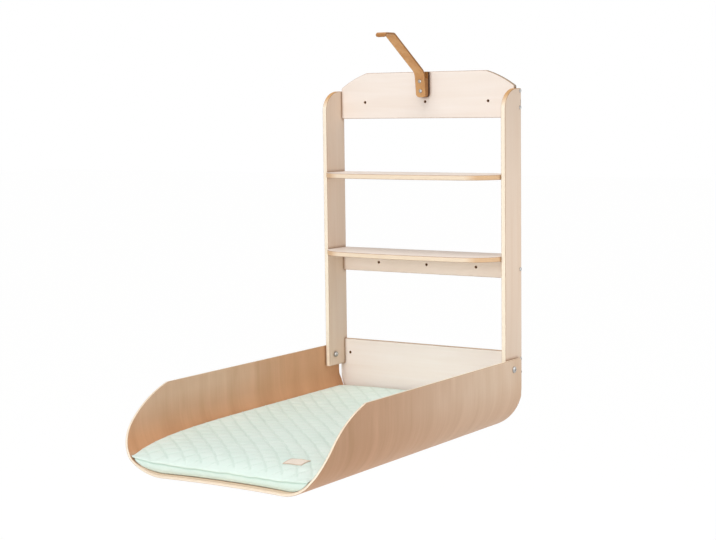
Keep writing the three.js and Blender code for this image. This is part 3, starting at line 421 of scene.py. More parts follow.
def board(node, axis, side, grain, pale=0.0, rounding=0.0016, corner=0.002, rim_darkening=0.0):
    """A plywood board with sanded arrises in the place of a CAD solid, whose thickness is along an axis."""
    global board_count
    board_count += 1
    loops = [softened(loop, corner) for loop in face_loops(node, axis, side)]
    low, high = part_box(node)[0][axis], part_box(node)[1][axis]
    across = [at for at in range(3) if at != axis]
    points, faces, edge, bore_and_rim_dark, gilt = [], [], [], [], []
    rims = [[], []]
    steps = arris(high - low, rounding)
    for order, loop in enumerate(loops):
        inward = leftward(loop)
        start = len(points)
        for depth, inset, share in steps:
            upper_arris = depth > (high - low) / 2 and share < 1
            # Painted shade: cut edges that look up, the shelves' upper arrises and their curved ends are drawn golden
            # brown.
            upward = -inward[:, 1] if axis != Z else np.full(len(loop), 0.8 if upper_arris else 0.36)
            endways = 0.75 * golden_tone_and_shade_of(1.4 * np.abs(inward[:, 0]) + 0.12) if axis == Z else 0.0
            gilt.extend(np.maximum(golden_tone_and_shade_of(upward) * (0.4 if axis == Y else 1.0), endways))
            for place in loop + inward * inset:
                point = [0.0, 0.0, 0.0]
                point[axis], point[across[0]], point[across[1]] = low + depth, place[0], place[1]
                points.append(point)
                edge.append(share)
                # Bores are drawn dark brown: partly scorch from the drill, partly painted shade inside the hole.
                bore_and_rim_dark.append(1.0 if order > 0 else rim_darkening * share)
        count = len(loop)
        for step in range(len(steps) - 1):
            for index in range(count):
                a = start + step * count + index
                b = start + step * count + (index + 1) % count
                faces.append((a, b, b + count, a + count))
        rims[0].append(range(start, start + count))
        rims[1].append(range(start + (len(steps) - 1) * count, start + len(steps) * count))
    for rim in rims:
        numbers = [index for ring in rim for index in ring]
        flat = [[Vector((points[i][across[0]], points[i][across[1]], 0)) for i in ring] for ring in rim]
        faces += [tuple(numbers[corner] for corner in three) for three in tessellate_polygon(flat)]
    other = next(at for at in across if at != grain)
    own = [[p[grain] + 1.7 * board_count, p[other] + 0.6 * board_count, p[axis] - low] for p in points]
    layers = {"board": own, "edge": edge, "bore_and_rim_dark": bore_and_rim_dark, "gilt": gilt, "pale": [pale] * len(points)}
    return shown(node + "_board", points, faces, frame_plywood, **layers)


# %% [markdown]
# ## The frame's boards
# The uprights, header, shelves, rail and lower panel are 12 mm birch plywood. The grain of the outer
# veneer runs along each board's length. The header and the lower panel are drawn palest and the uprights
# warmest: partly veneer that differs, partly painted light, as the boards that face the front meet the
# light and the uprights' faces look sideways.

# %% Boards of the frame
for node, axis, side, grain, pale in (
    ("upright_left", X, 0, Z, 0.0),
    ("upright_right", X, 1, Z, 0.0),
    ("header_panel", Y, 0, X, 0.8),
    ("upper_shelf", Z, 1, X, 0.7),
    ("lower_shelf", Z, 1, X, 0.7),
    ("shelf_rail", Y, 0, X, 0.5),
    ("lower_panel", Y, 0, X, 1.0),
):
    # The header's cut edges are drawn halfway to the bores' dark brown.
    rim_darkening = 0.5 if node == "header_panel" else 0.0
    made = placed(board(node, axis, side, grain, pale, rim_darkening=rim_darkening), "frame", "frame_plywood", node)
    print(made.name, len(made.data.polygons), "faces")

# %% [markdown]
# ## Bent sheets
# The tray is one sheet of thin plywood, pressed into a U and then trimmed. The strap is one strip of
# leather, bent twice. Both are made the same way: rows run along the sheet, each row has its own two
# ends, and a function says where a point of the flat sheet lies once it is bent.


# %% Bent sheet
def bent_sheet(name, material, rows, ends, place, thickness, shares, rounding, layers):
    """A sheet of a given thickness with rounded rims. ends(s, t) gives both ends of a row.

    shares are the columns' places from one end to the other, and layers(s, w, depth, column) gives a
    point's own flat coordinates, its paleness and its least share of edge colour.
    """
    last, columns = len(rows) - 1, len(shares) - 1

    def rim_loop(depth):
        """The rim, once round, in the flat sheet's own coordinates, and the grid places it passes."""
        low, high = zip(*[ends(s, depth) for s in rows])
        path = [((rows[i], low[i]), (i, 0)) for i in range(last + 1)]
        path += [((rows[last], low[last] + (high[last] - low[last]) * shares[j]), (last, j)) for j in range(1, columns)]
        path += [((rows[i], high[i]), (i, columns)) for i in range(last, -1, -1)]
        path += [((rows[0], low[0] + (high[0] - low[0]) * shares[j]), (0, j)) for j in range(columns - 1, 0, -1)]
        return np.array([p for p, _ in path]), [g for _, g in path]

    points, faces, edge, flat, gilt, pale = [], [], [], [], [], []
    small = 1e-4

    def put(s, w, depth, share, column, outward=(0.0, 0.0)):
        points.append(place(s, w, depth))
        own, paleness, least = layers(s, w, depth, column)
        flat.append(own)
        pale.append(paleness)
        edge.append(max(share, least))
        # Painted shade: cut edges that look up are drawn golden brown, and the sanded front edge a little.
        beyond = place(s + small * outward[0], w + small * outward[1], depth)
        gilt.append(max(0.3 * least, 0.2 * golden_tone_and_shade_of((beyond[2] - points[-1][2]) / small)))
        return len(points) - 1

    steps = arris(thickness, rounding)
    rings = []
    for depth, inset, share in steps:
        loop, grid = rim_loop(depth)
        inward = leftward(loop)
        if signed_area(loop) < 0:
            inward = -inward
        inner = loop + inward * inset
        rings.append([put(s, w, depth, share, g[1], -way) for (s, w), way, g in zip(inner, inward, grid)])
        if depth in (0.0, thickness):
            number = {g: index for g, index in zip(grid, rings[-1])}
            where = {g: p for g, p in zip(grid, inner)}
            for i in range(1, last):
                first, second = where[(i, 0)], where[(i, columns)]
                for j in range(1, columns):
                    s, w = first + (second - first) * shares[j]
                    number[(i, j)] = put(s, w, depth, 0.0, j)
            for i in range(last):
                for j in range(columns):
                    faces.append([number[(i, j)], number[(i, j + 1)], number[(i + 1, j + 1)], number[(i + 1, j)]])
    for lower, upper in zip(rings, rings[1:]):
        for index in range(len(lower)):
            after = (index + 1) % len(lower)
            faces.append([lower[index], lower[after], upper[after], upper[index]])
    return shown(name, points, faces, material, board=flat, edge=edge, gilt=gilt, pale=pale)


# %% [markdown]
# ## The tray
# Its walls rise from wide bends. From the side, the front of each wall follows a long ellipse, cut off at
# the wall's top, so a blunt corner is left there. From above, the floor's front edge is hollowed. The
# walls' rear edges stand away from the lower panel, and run back to it at the bends. All these cuts go
# straight through the bent sheet, so the cut edge widens where it crosses a bend.

# %% Tray shell
TRAY_PLY = 0.006
BEND = 0.112
TRAY_FRONT = -0.880
FRONT_CURVE = (0.272, 0.193)
FRONT_SCOOP = 0.024
WALL_BACK = -0.0175
FLARE = (0.082, 0.100)
BACK_CORNER = 0.006
tray_low, tray_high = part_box("tray_shell")
tray_height = tray_high.z - tray_low.z
outer_half, inner_half = tray_high.x, tray_high.x - TRAY_PLY
flat_half = outer_half - BEND
wall_length, bend_length = tray_height - BEND, BEND * math.pi / 2
sheet_length = 2 * (wall_length + bend_length + flat_half)


def tray_section(s, depth):
    """Across the tray and above its underside, for a distance along the sheet and a depth in it."""
    side = 1 if s < sheet_length / 2 else -1
    down = s if side > 0 else sheet_length - s
    if down < wall_length:
        return side * (outer_half - depth), tray_height - down
    if down < wall_length + bend_length:
        turn = (down - wall_length) / BEND
        radius = BEND - depth
        return side * (flat_half + radius * math.cos(turn)), BEND - radius * math.sin(turn)
    return side * (flat_half - (down - wall_length - bend_length)), depth


def front_edge(x):
    """Where the hollowed front edge lies, at a distance from the middle."""
    return TRAY_FRONT + FRONT_SCOOP * (1 - (np.minimum(np.abs(x), inner_half) / inner_half) ** 2)


def tray_ends(s, depth):
    x, height = tray_section(s, depth)
    length, rise = FRONT_CURVE
    front = max(TRAY_FRONT + length * (1 - math.sqrt(1 - (height / rise) ** 2)), front_edge(x))
    rise = min(1.0, max(0.0, (height - FLARE[0]) / (FLARE[1] - FLARE[0])))
    back = tray_high.y + (WALL_BACK - tray_high.y) * rise * rise * (3 - 2 * rise)
    over = max(0.0, height - tray_height + BACK_CORNER)
    back -= BACK_CORNER - math.sqrt(max(0.0, BACK_CORNER**2 - over**2))
    return front, back


def tray_place(s, y, depth):
    x, height = tray_section(s, depth)
    return x, y, tray_low.z + height


downs = [0.0, 0.0022, *np.linspace(0.007, wall_length - 0.005, 12)]
downs += [wall_length + BEND * math.radians(turn) for turn in (*np.arange(0, 18, 1.25), *np.linspace(18, 90, 22))]
downs += [wall_length + bend_length + flat_half * k / 8 for k in range(1, 8)]
tray_rows = downs + [sheet_length / 2] + [sheet_length - d for d in reversed(downs)]
tray_shares = [0, 0.019, 0.024, *np.linspace(0.045, 1, 34)]


def tray_layers(s, y, depth, column):
    """Inside, the veneer is drawn palest high on the walls and near the front, and warmer and darker low
    down and to the rear: painted shade and warm bounced light. The inner face of the floor along its front
    edge takes the cut edge's colour. Outside, it is drawn paler towards the rear and up the walls: painted light.
    """
    height = tray_section(s, depth)[1]
    if depth > TRAY_PLY / 2:
        low = min(1, max(0, (0.05 - height) / 0.03))
        forward = 1 - 0.75 * min(1, max(0, (y + 0.5) / 0.25))
        paleness = 0.65 * forward * min(1, max(0, (height - 0.07) / 0.08))
        return (s, y, depth), paleness, 0.85 * low * (column <= 1)
    walled = 0.6 + 0.4 * min(1, max(0, (height - 0.05) / 0.08))
    return (s, y, depth), walled * (0.32 + 0.68 * min(1, max(0, (y + 0.68) / 0.5))), 0.0


tray = bent_sheet(
    "tray_sheet", tray_plywood, tray_rows, tray_ends, tray_place, TRAY_PLY, tray_shares, 0.0011, tray_layers
)
placed(tray, "tray", "tray_plywood", "tray_shell")
print("tray:", len(tray.data.polygons), "faces, sheet length", round(sheet_length, 4))

# %% [markdown]
# ## The mattress
# A flat foam pad in a sewn cotton cover. Its sides ride up the tray's bends, so its top is hollow across,
# and it falls away to the front. The cover is quilted in diamonds, so the sewn lines are held down
# and the cloth between them swells. That is what the simulation does here: the lines, the edge seam and
# the lower rim are pinned, and a light pressure lifts each diamond.

# %% Form of the mattress
FLOOR = tray_low.z + TRAY_PLY
MATTRESS_BACK = -0.034
MATTRESS_FRONT_GAP = 0.017
CORNER_REACH = 0.014
SIDE_GAP, REST_GAP = 0.0025, 0.0006
QUILT_DEPTH = 0.002
BAND_HEIGHT = 0.022
COLUMNS, ROWS, FINE = 22, 36, 6
inner_bend = BEND - TRAY_PLY
mattress_length = MATTRESS_BACK - front_edge(0.0) - MATTRESS_FRONT_GAP


def bend_half(height, inset):
    """Half width of the tray's inside at a height above its floor, less an inset."""
    fall = np.maximum(0, inner_bend - height)
    return flat_half + np.sqrt(np.maximum(0, (inner_bend - inset) ** 2 - fall**2))


def eased(distance, edge, full, rounding):
    return full - (full - edge) * np.exp(-distance / rounding)


def side_height(distance):
    return eased(distance, 0.039, 0.066, 0.115)


def seam_half(distance):
    return bend_half(side_height(distance) - QUILT_DEPTH, SIDE_GAP)


def rest_half(distance):
    return bend_half(side_height(distance) - QUILT_DEPTH - BAND_HEIGHT, REST_GAP)


def lining(x):
    """Height of the tray's inside under the mattress."""
    past = np.maximum(0, np.abs(x) - flat_half)
    return inner_bend - np.sqrt(np.maximum(0, (inner_bend - REST_GAP) ** 2 - past**2))


def crown(x, y):
    """Height of the mattress's top before quilting, above the tray's floor."""
    distance = np.maximum(0, y - front_edge(x) - MATTRESS_FRONT_GAP)
    rise = np.clip((y - MATTRESS_BACK + 0.23) / 0.23, 0, 1)
    middle = eased(distance, 0.024, 0.050, 0.035) + 0.020 * rise * rise * (3 - 2 * rise)
    across = np.minimum(1, np.abs(x) / seam_half(distance)) ** 4
    return middle + (side_height(distance) - middle) * across


def plan(u, v, half_at):
    """Place on the plan of a grid point, both from -1 to 1: sides pull in between the corners."""
    share = (v + 1) / 2
    x = u * (half_at(share * mattress_length) - 0.002 * (1 - v * v))
    front = front_edge(x) + MATTRESS_FRONT_GAP - CORNER_REACH * u**6
    return x, front + (MATTRESS_BACK - front) * share


across_count, along_count = COLUMNS * FINE, ROWS * FINE
grid_u, grid_v = np.meshgrid(np.linspace(-1, 1, across_count + 1), np.linspace(-1, 1, along_count + 1))
top_x, top_y = plan(grid_u, grid_v, seam_half)
inside = (1 - grid_u**8) * (1 - grid_v**8)
drift_x, drift_y = np.sin(97 * top_y + 60 * top_x + 0.5), np.sin(83 * top_x - 71 * top_y + 1.9)
top_x, top_y = top_x + 0.0013 * inside * drift_x, top_y + 0.0013 * inside * drift_y
behind = top_y - front_edge(top_x) - MATTRESS_FRONT_GAP
uneven = 0.0006 * (np.sin(74 * top_x + 1.0) + 0.7 * np.sin(151 * top_x + 2.2))
top_z = FLOOR + crown(top_x, top_y) - QUILT_DEPTH + uneven * np.exp(-np.maximum(0, behind) / 0.012)
top = np.stack([top_x, top_y, top_z], axis=2)
row_at, column_at = np.indices(grid_u.shape)
sewn = ((row_at - column_at) % (2 * FINE) == 0) | ((row_at + column_at) % (2 * FINE) == 0)
on_edge = (row_at == 0) | (row_at == along_count) | (column_at == 0) | (column_at == across_count)
print("mattress top:", top.shape[:2], "points, length", round(float(mattress_length), 4))

# %% Cover of the mattress: top, band and underside
width = across_count + 1
number = np.arange(top.shape[0] * width).reshape(top.shape[0], width)
cover_points = [tuple(p) for p in top.reshape(-1, 3)]
cover_faces = []
for r in range(along_count):
    for c in range(across_count):
        a, b, d, e = number[r, c], number[r, c + 1], number[r + 1, c + 1], number[r + 1, c]
        if (r + c + 1) % (2 * FINE) == 0:
            cover_faces += [(a, b, e), (b, d, e)]
        else:
            cover_faces += [(a, b, d), (a, d, e)]
rim = [(0, c) for c in range(across_count)] + [(r, across_count) for r in range(along_count)]
rim += [(along_count, c) for c in range(across_count, 0, -1)] + [(r, 0) for r in range(along_count, 0, -1)]
BAND = (
    (0.07, 0.0010, 0.0), (0.14, 0.0012, 0.0), (0.20, 0.0, 0.6), (0.24, -0.0012, 1.0), (0.29, 0.0002, 0.6),
    (0.36, 0.0010, 0.25), (0.52, 0.0020, 0.25), (0.70, 0.0018, 0.25), (0.88, 0.0006, 0.25), (1.0, 0.0, 0.25),
)
band_rings = [[number[at] for at in rim]]
low_places = []
for r, c in rim:
    u, v = grid_u[r, c], grid_v[r, c]
    x, y = plan(u, v, rest_half)
    y -= 0.002 * np.sign(v) if abs(v) == 1 else 0
    low_places.append(np.array([x, y, FLOOR + lining(x)]))
for share, bulge, _ in BAND:
    ring = []
    for (r, c), low in zip(rim, low_places):
        u, v = grid_u[r, c], grid_v[r, c]
        push = np.array([np.sign(u) * (abs(u) == 1), np.sign(v) * (abs(v) == 1), 0.0])
        cover_points.append(tuple(top[r, c] * (1 - share) + low * share + push * bulge))
        ring.append(len(cover_points) - 1)
    band_rings.append(ring)
for upper, lower in zip(band_rings, band_rings[1:]):
    for index in range(len(rim)):
        after = (index + 1) % len(rim)
        cover_faces.append((lower[index], lower[after], upper[after], upper[index]))
print("cover:", len(cover_points), "points", len(cover_faces), "faces")

# %% Swelling of the quilted cover
top_count = top.shape[0] * width
held = np.zeros(len(cover_points), bool)
held[:top_count] = (sewn | on_edge).ravel()
GROOVE = 4
held[band_rings[GROOVE] + band_rings[-1]] = True
rest = np.array(cover_points)


def swollen():
    """The cover after a short simulation with pressure inside, its sewn lines held."""
    mesh = bpy.data.meshes.new("cover_trial")
    mesh.from_pydata(cover_points, [], cover_faces)
    trial = bpy.data.objects.new("cover_trial", mesh)
    scene = bpy.context.scene
    scene.collection.objects.link(trial)
    group = trial.vertex_groups.new(name="sewn")
    group.add([int(i) for i in np.flatnonzero(held)], 1.0, "REPLACE")
    cloth = trial.modifiers.new("cloth", "CLOTH")
    settings = cloth.settings
    settings.quality = 4
    settings.mass = 0.25
    settings.tension_stiffness = settings.compression_stiffness = 5
    settings.shear_stiffness = 2
    settings.bending_stiffness = 0.1
    settings.vertex_group_mass = "sewn"
    settings.use_pressure = True
    settings.uniform_pressure_force = 160
    settings.effector_weights.gravity = 0
    for step in range(1, 21):
        scene.frame_set(step)
    graph = bpy.context.evaluated_depsgraph_get()
    result = np.array([v.co for v in trial.evaluated_get(graph).data.vertices])
    scene.frame_set(1)
    bpy.data.objects.remove(trial)
    bpy.data.meshes.remove(mesh)
    return result


SWELLING = 0.0022
moved = swollen() - rest
lengths = np.linalg.norm(moved, axis=1, keepdims=True)
print("swelling in mm: middle %.2f, most %.2f" % (1000 * np.median(lengths), 1000 * lengths.max()))
moved *= np.minimum(1, SWELLING / np.maximum(lengths, 1e-9))
cover = rest + moved
cover[:top_count, 2] -= 0.0003 * (sewn & ~on_edge).ravel()

# %% [markdown]
# The swollen cover stays inside the tray: a point that would touch its lining is brought back to a
# small gap. The underside is flat strips, which nobody sees while the mattress lies in the tray.

# %% Mattress piece
past = np.abs(cover[:, 0]) - flat_half
fall = np.maximum(0, FLOOR + inner_bend - cover[:, 2])
radius = np.hypot(np.maximum(0, past), fall)
limit = inner_bend - 0.0005
outside = (past > 0) & (radius > limit)
scale = np.where(outside, limit / np.maximum(radius, 1e-9), 1.0)
cover[:, 0] = np.where(outside, np.sign(cover[:, 0]) * (flat_half + past * scale), cover[:, 0])
cover[:, 2] = np.where(outside, FLOOR + inner_bend - fall * scale, cover[:, 2])
cover[:, 2] = np.maximum(cover[:, 2], FLOOR + 0.0005)
under = dict(zip(rim, band_rings[-1]))
for c in range(1, across_count - 1):
    front, back = (under[(0, c)], under[(0, c + 1)]), (under[(along_count, c + 1)], under[(along_count, c)])
    cover_faces.append((*front, *back))
half_row = along_count // 2
for edge_column, inside in ((0, 1), (across_count, across_count - 1)):
    front, back = under[(0, inside)], under[(along_count, inside)]
    for r in range(along_count):
        anchor = front if r < half_row else back
        cover_faces.append((anchor, under[(r, edge_column)], under[(r + 1, edge_column)]))
    cover_faces.append((front, under[(half_row, edge_column)], back))
# Painted shade: the quilting's sewn grooves and the top seam's groove are drawn darker, as shade falls in them, and the
# rest of the band a little darker, as its side gets less light.
sewn_and_band_shade = np.zeros(len(cover))
sewn_and_band_shade[:top_count] = 0.6 * (sewn & ~on_edge & (behind > 0.012)).ravel()
for ring, (_, _, share) in zip(band_rings[1:], BAND):
    sewn_and_band_shade[ring] = share
mattress = shown("mattress_cover", cover, cover_faces, mattress_cotton, edge=sewn_and_band_shade)
placed(mattress, "tray", "mattress_cotton", "mattress")
print("mattress:", len(mattress.data.polygons), "faces")

# %% [markdown]
# ## The blank label
# A small woven patch sewn near the front edge. It lies over the quilting, so it bridges the sewn lines
# instead of following each one.

# %% Label patch
cover_tree = BVHTree.FromPolygons([Vector(p) for p in cover], cover_faces)


def above(x, y):
    """Height of the mattress's top."""
    hit = cover_tree.ray_cast(Vector((x, y, 0.0)), Vector((0, 0, -1)))[0]
    return hit.z


label_low, label_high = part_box("mattress_label")
label_rows = np.linspace(label_low.x + 0.0005, label_high.x - 0.0005, 27)
label_y = (label_low.y + 0.0005, label_high.y - 0.0005)


def label_height(x, y):
    near = [above(x + dx, y + dy) for dx in (-0.006, 0, 0.006) for dy in (-0.006, 0, 0.006)]
    return max(sum(near) / 9, above(x, y)) + 0.0003


def label_place(s, w, depth):
    return s, w, label_height(s, w) + depth


label = bent_sheet(
    "label_patch", label_cloth, label_rows, lambda s, depth: label_y, label_place, 0.0009,
    np.linspace(0, 1, 19), 0.0003, lambda s, w, depth, column: ((s, w, depth), 0.0, 0.0),
)
placed(label, "tray", "label_cloth", "mattress_label")
print("label:", len(label.data.polygons), "faces")

# %% [markdown]
# ## The strap
# Three layers are screwed to the header: a dark spacer, a doubler pared to a wedge, and the strap itself,
# which leans on the wedge, bends forward, runs up, and ends in a hook over the folded tray. The strap is
# one strip that bends where it leaves the doubler.

# %% Strap layers and strip
STRAP_WIDTH, LEATHER = 0.028, 0.0055
LEAN, SLOPE = math.radians(7), math.radians(33.32)
ROOT_BEND, ARM, TIP_BEND, TIP, LIP_BEND, LIP = 0.026, 0.14944, 0.010, 0.031, 0.005, 0.0035
ROOT_CORNER, LIP_CORNER = 0.008, 0.006
root_low, root_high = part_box("strap_root")
flex = Vector((0, (root_low.y + root_high.y) / 2, root_high.z + 0.0002 + LEATHER / 2))
root_length = flex.z - root_low.z
turn = math.pi / 2 - LEAN - SLOPE
bend_at = root_length
arm_at = bend_at + ROOT_BEND * turn
tip_bend_at = arm_at + ARM
tip_at = tip_bend_at + TIP_BEND * SLOPE
lip_bend_at = tip_at + TIP
lip_at = lip_bend_at + LIP_BEND * math.pi / 2
strap_length = lip_at + LIP


strap_stretches = (
    (root_length, 0.0),
    (ROOT_BEND * turn, ROOT_BEND),
    (ARM, 0.0),
    (TIP_BEND * SLOPE, TIP_BEND),
    (TIP, 0.0),
    (LIP_BEND * math.pi / 2, LIP_BEND),
    (LIP, 0.0),
)


def strap_line(s):
    """Middle line of the strap: forward, up, and the slope of its way there. Every bend turns forward."""
    forward, up, slope = 0.0, -root_length, math.pi / 2 - LEAN
    for length, radius in strap_stretches:
        run = min(s, length)
        if radius:
            after = slope - run / radius
            forward += radius * (math.sin(slope) - math.sin(after))
            up += radius * (math.cos(after) - math.cos(slope))
            slope = after
        else:
            forward, up = forward + run * math.cos(slope), up + run * math.sin(slope)
        s -= run
    return forward, up, slope


def lean_at(z):
    """How far the wedge-shaped doubler has pushed the strap forward at a height."""
    return (z - root_low.z) * math.tan(LEAN)


def strap_place(s, x, depth):
    forward, up, slope = strap_line(s)
    off = LEATHER / 2 - depth
    return x, flex.y - forward - off * math.sin(slope), flex.z + up - off * math.cos(slope)


def strap_ends(s, depth):
    half = STRAP_WIDTH / 2
    for corner, over in ((ROOT_CORNER, ROOT_CORNER - s), (LIP_CORNER, LIP_CORNER - (strap_length - s))):
        if over > 0:
            half -= corner - math.sqrt(max(0.0, corner**2 - over**2))
    return -half, half


strap_rows = [0, 0.002, 0.0035, 0.0055, 0.008, *np.linspace(0.012, bend_at - 0.004, 10)]
strap_rows += [*np.linspace(bend_at, arm_at, 10), *np.linspace(arm_at + 0.008, tip_bend_at - 0.004, 24)]
strap_rows += [*np.linspace(tip_bend_at, tip_at, 6), *np.linspace(tip_at + 0.004, lip_bend_at - 0.003, 7)]
strap_rows += [*np.linspace(lip_bend_at, lip_at, 9), *(strap_length - np.array([0.0028, 0.0022, 0.0012, 0]))]


def strap_layers(s, x, depth, column):
    """The strip's end, past the lip's bend, takes the darker colour of its burnished edges."""
    return (s, x, depth), 0.0, min(1, max(0, (s - lip_bend_at) / 0.006))


strap = bent_sheet(
    "strap_strip", strap_leather, strap_rows, strap_ends, strap_place, LEATHER,
    np.linspace(0, 1, 11), 0.0011, strap_layers,
)
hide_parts("strap_root", "strap_arm")
bend_start = strap_place(bend_at - 0.004, 0, LEATHER / 2)
bend_end = strap_place(arm_at + 0.004, 0, LEATHER / 2)
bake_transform(strap)
for node, leather, slot in (
    ("strap_spacer", dark_leather, "dark_leather"),
    ("strap_doubler", strap_leather, "leather"),
):
    layer = board(node, Y, 0, Z, rounding=0.0008)
    layer.name = node + "_layer"
    layer.data.materials[0] = leather
    if node == "strap_doubler":
        front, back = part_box(node)[0].y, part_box(node)[1].y
        for vertex in layer.data.vertices:
            forward_share = (back - vertex.co.y) / (back - front)
            vertex.co.y -= forward_share * lean_at(vertex.co.z)
        shade(layer.data)
    placed(layer, "frame", slot, node)
print("strap length in mm:", round(1000 * strap_length, 1))

# %% [markdown]
# ## Screws, bolts and nuts
# Small fasteners repeat, so one node tree sets a detailed pattern piece at each place. A place is a
# point with a facing direction and a size, and each head is turned by a random but fixed amount.


# %% Fastener node tree
def turned(name, profile, sides=40):
    """A pattern piece spun about Z from pairs of radius and height."""
    points, faces = [], []
    for radius, height in profile:
        for k in range(sides):
            a = 2 * math.pi * k / sides
            points.append((radius * math.cos(a), radius * math.sin(a), height))
    for ring in range(len(profile) - 1):
        for k in range(sides):
            a, b = ring * sides + k, ring * sides + (k + 1) % sides
            faces.append((a, b, b + sides, a + sides))
    mesh = bpy.data.meshes.new(name)
    mesh.from_pydata(points, [], faces)
    form = bmesh.new()
    form.from_mesh(mesh)
    bmesh.ops.remove_doubles(form, verts=form.verts, dist=1e-7)
    bmesh.ops.recalc_face_normals(form, faces=form.faces)
    form.to_mesh(mesh)
    form.free()
    shade(mesh)
    return bpy.data.objects.new(name, mesh)


def socket_head(head, height, shank, length, recess):
    """A domed head with a hexagonal recess, on a plain shank."""
    dome = [(head * math.cos(a), height * (0.25 + 0.75 * math.sin(a))) for a in np.linspace(0, 1.15, 7)]
    profile = [(0, -length), (shank, -length), (shank, 0), (head * 0.97, 0), (head, height * 0.06)]
    profile += dome
    top = dome[-1][1]
    profile += [(recess * 1.08, top), (recess, top - 0.1 * height), (recess, top - 0.55 * height), (0, top - 0.7 * height)]
    return profile


def new_tree(name, **inputs):
    """A geometry node tree with named inputs, and the sockets that bring them in."""
    tree = bpy.data.node_groups.new(name, "GeometryNodeTree")
    for title, kind in inputs.items():
        tree.interface.new_socket(title.replace("_", " "), in_out="INPUT", socket_type="NodeSocket" + kind)
    tree.interface.new_socket("Pieces", in_out="OUTPUT", socket_type="NodeSocketGeometry")
    return tree, add(tree, "NodeGroupInput").node.outputs


place_tree, given = new_tree("set_at_places", Places="Geometry", Pattern="Object", Finish="Material", Seed="Int")
facing, size = [
    add(place_tree, "GeometryNodeInputNamedAttribute", {"Name": key}, data_type="FLOAT_VECTOR")
    for key in ("facing", "size")
]
aligned = add(place_tree, "FunctionNodeAlignRotationToVector", {"Vector": facing}, axis="Z")
any_angle = {2: 0.0, 3: 2 * math.pi, "Seed": given["Seed"]}
angle = add(place_tree, "FunctionNodeRandomValue", any_angle, out=1, data_type="FLOAT")
spin = add(place_tree, "FunctionNodeAxisAngleToRotation", {"Angle": angle})
rotation = add(place_tree, "FunctionNodeRotateRotation", (aligned, spin), rotation_space="LOCAL")
pattern = add(place_tree, "GeometryNodeObjectInfo", {"Object": given["Pattern"]}, out="Geometry")
each = {"Points": given["Places"], "Instance": pattern, "Rotation": rotation, "Scale": size}
real = add(place_tree, "GeometryNodeRealizeInstances", [add(place_tree, "GeometryNodeInstanceOnPoints", each)])
finished = add(place_tree, "GeometryNodeSetMaterial", {0: real, "Material": given["Finish"]})
add(place_tree, "NodeGroupOutput", [finished])


def made_by(tree, name, mesh, **values):
    """The plain mesh that a tree makes from a mesh of points or lines."""
    made = bpy.data.objects.new(name, mesh)
    bpy.context.scene.collection.objects.link(made)
    step = made.modifiers.new(tree.name, "NODES")
    step.node_group = tree
    for item in tree.interface.items_tree:
        if item.name in values:
            step[item.identifier] = values[item.name]
    graph = bpy.context.evaluated_depsgraph_get()
    result = bpy.data.meshes.new_from_object(made.evaluated_get(graph), depsgraph=graph)
    made.modifiers.clear()
    made.data = result
    result.name = name
    return made


def set_at(name, pattern_piece, places, finish, seed=1):
    """One mesh of pattern pieces, from triples of place, facing and size."""
    mesh = bpy.data.meshes.new(name + "_places")
    mesh.from_pydata([tuple(p) for p, _, _ in places], [], [])
    for key, at in (("facing", 1), ("size", 2)):
        values = np.array([place[at] for place in places], np.float32)
        mesh.attributes.new(key, "FLOAT_VECTOR", "POINT").data.foreach_set("vector", values.ravel())
    return made_by(place_tree, name, mesh, Pattern=pattern_piece, Finish=finish, Seed=seed)


def seat(node, axis, outward):
    """Middle of the face of a node's box that looks outward along an axis."""
    low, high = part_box(node)
    middle = (low + high) / 2
    middle[axis] = high[axis] if outward > 0 else low[axis]
    return middle


# %% Screws through the uprights and the strap
SCREW_HEAD = 0.0024
screw = turned("screw_pattern", socket_head(0.0045, SCREW_HEAD, 0.0025, 0.012, 0.0017))
screw_places, screw_nodes = [], []
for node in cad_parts:
    if "_screw_" in node and node.startswith(("header", "rail", "panel")):
        outward = 1 if "right" in node else -1
        spot = seat(node, X, outward) - Vector((outward * SCREW_HEAD, 0, 0))
        screw_places.append((spot, (outward, 0, 0), (1, 1, 1)))
        screw_nodes.append(node)
for node in ("strap_screw_upper", "strap_screw_lower"):
    spot = seat(node, Y, -1) + Vector((0, SCREW_HEAD, 0))
    spot.y -= lean_at(spot.z)
    screw_places.append((spot, (0, -math.cos(LEAN), -math.sin(LEAN)), (1.02, 1.02, 1)))
    screw_nodes.append(node)
screws = set_at("screws", screw, screw_places, steel, seed=4)
placed(screws, "frame", "steel", *screw_nodes)
print("screws:", len(screw_places), "with", len(screws.data.polygons), "faces")

# %% Pivot bolts, cap nuts and washers
bolt = turned("bolt_pattern", socket_head(0.008, 0.0045, 0.004, 0.020, 0.0028), sides=56)
bolt_places = []
for side, outward in (("left", -1), ("right", 1)):
    spot = seat(f"pivot_bolt_{side}", X, outward) - Vector((outward * 0.0045, 0, 0))
    bolt_places.append((spot, (outward, 0, 0), (1, 1, 1)))
bolts = set_at("pivot_bolts", bolt, bolt_places, steel, seed=2)
placed(bolts, "frame", "steel", "pivot_bolt_left", "pivot_bolt_right")


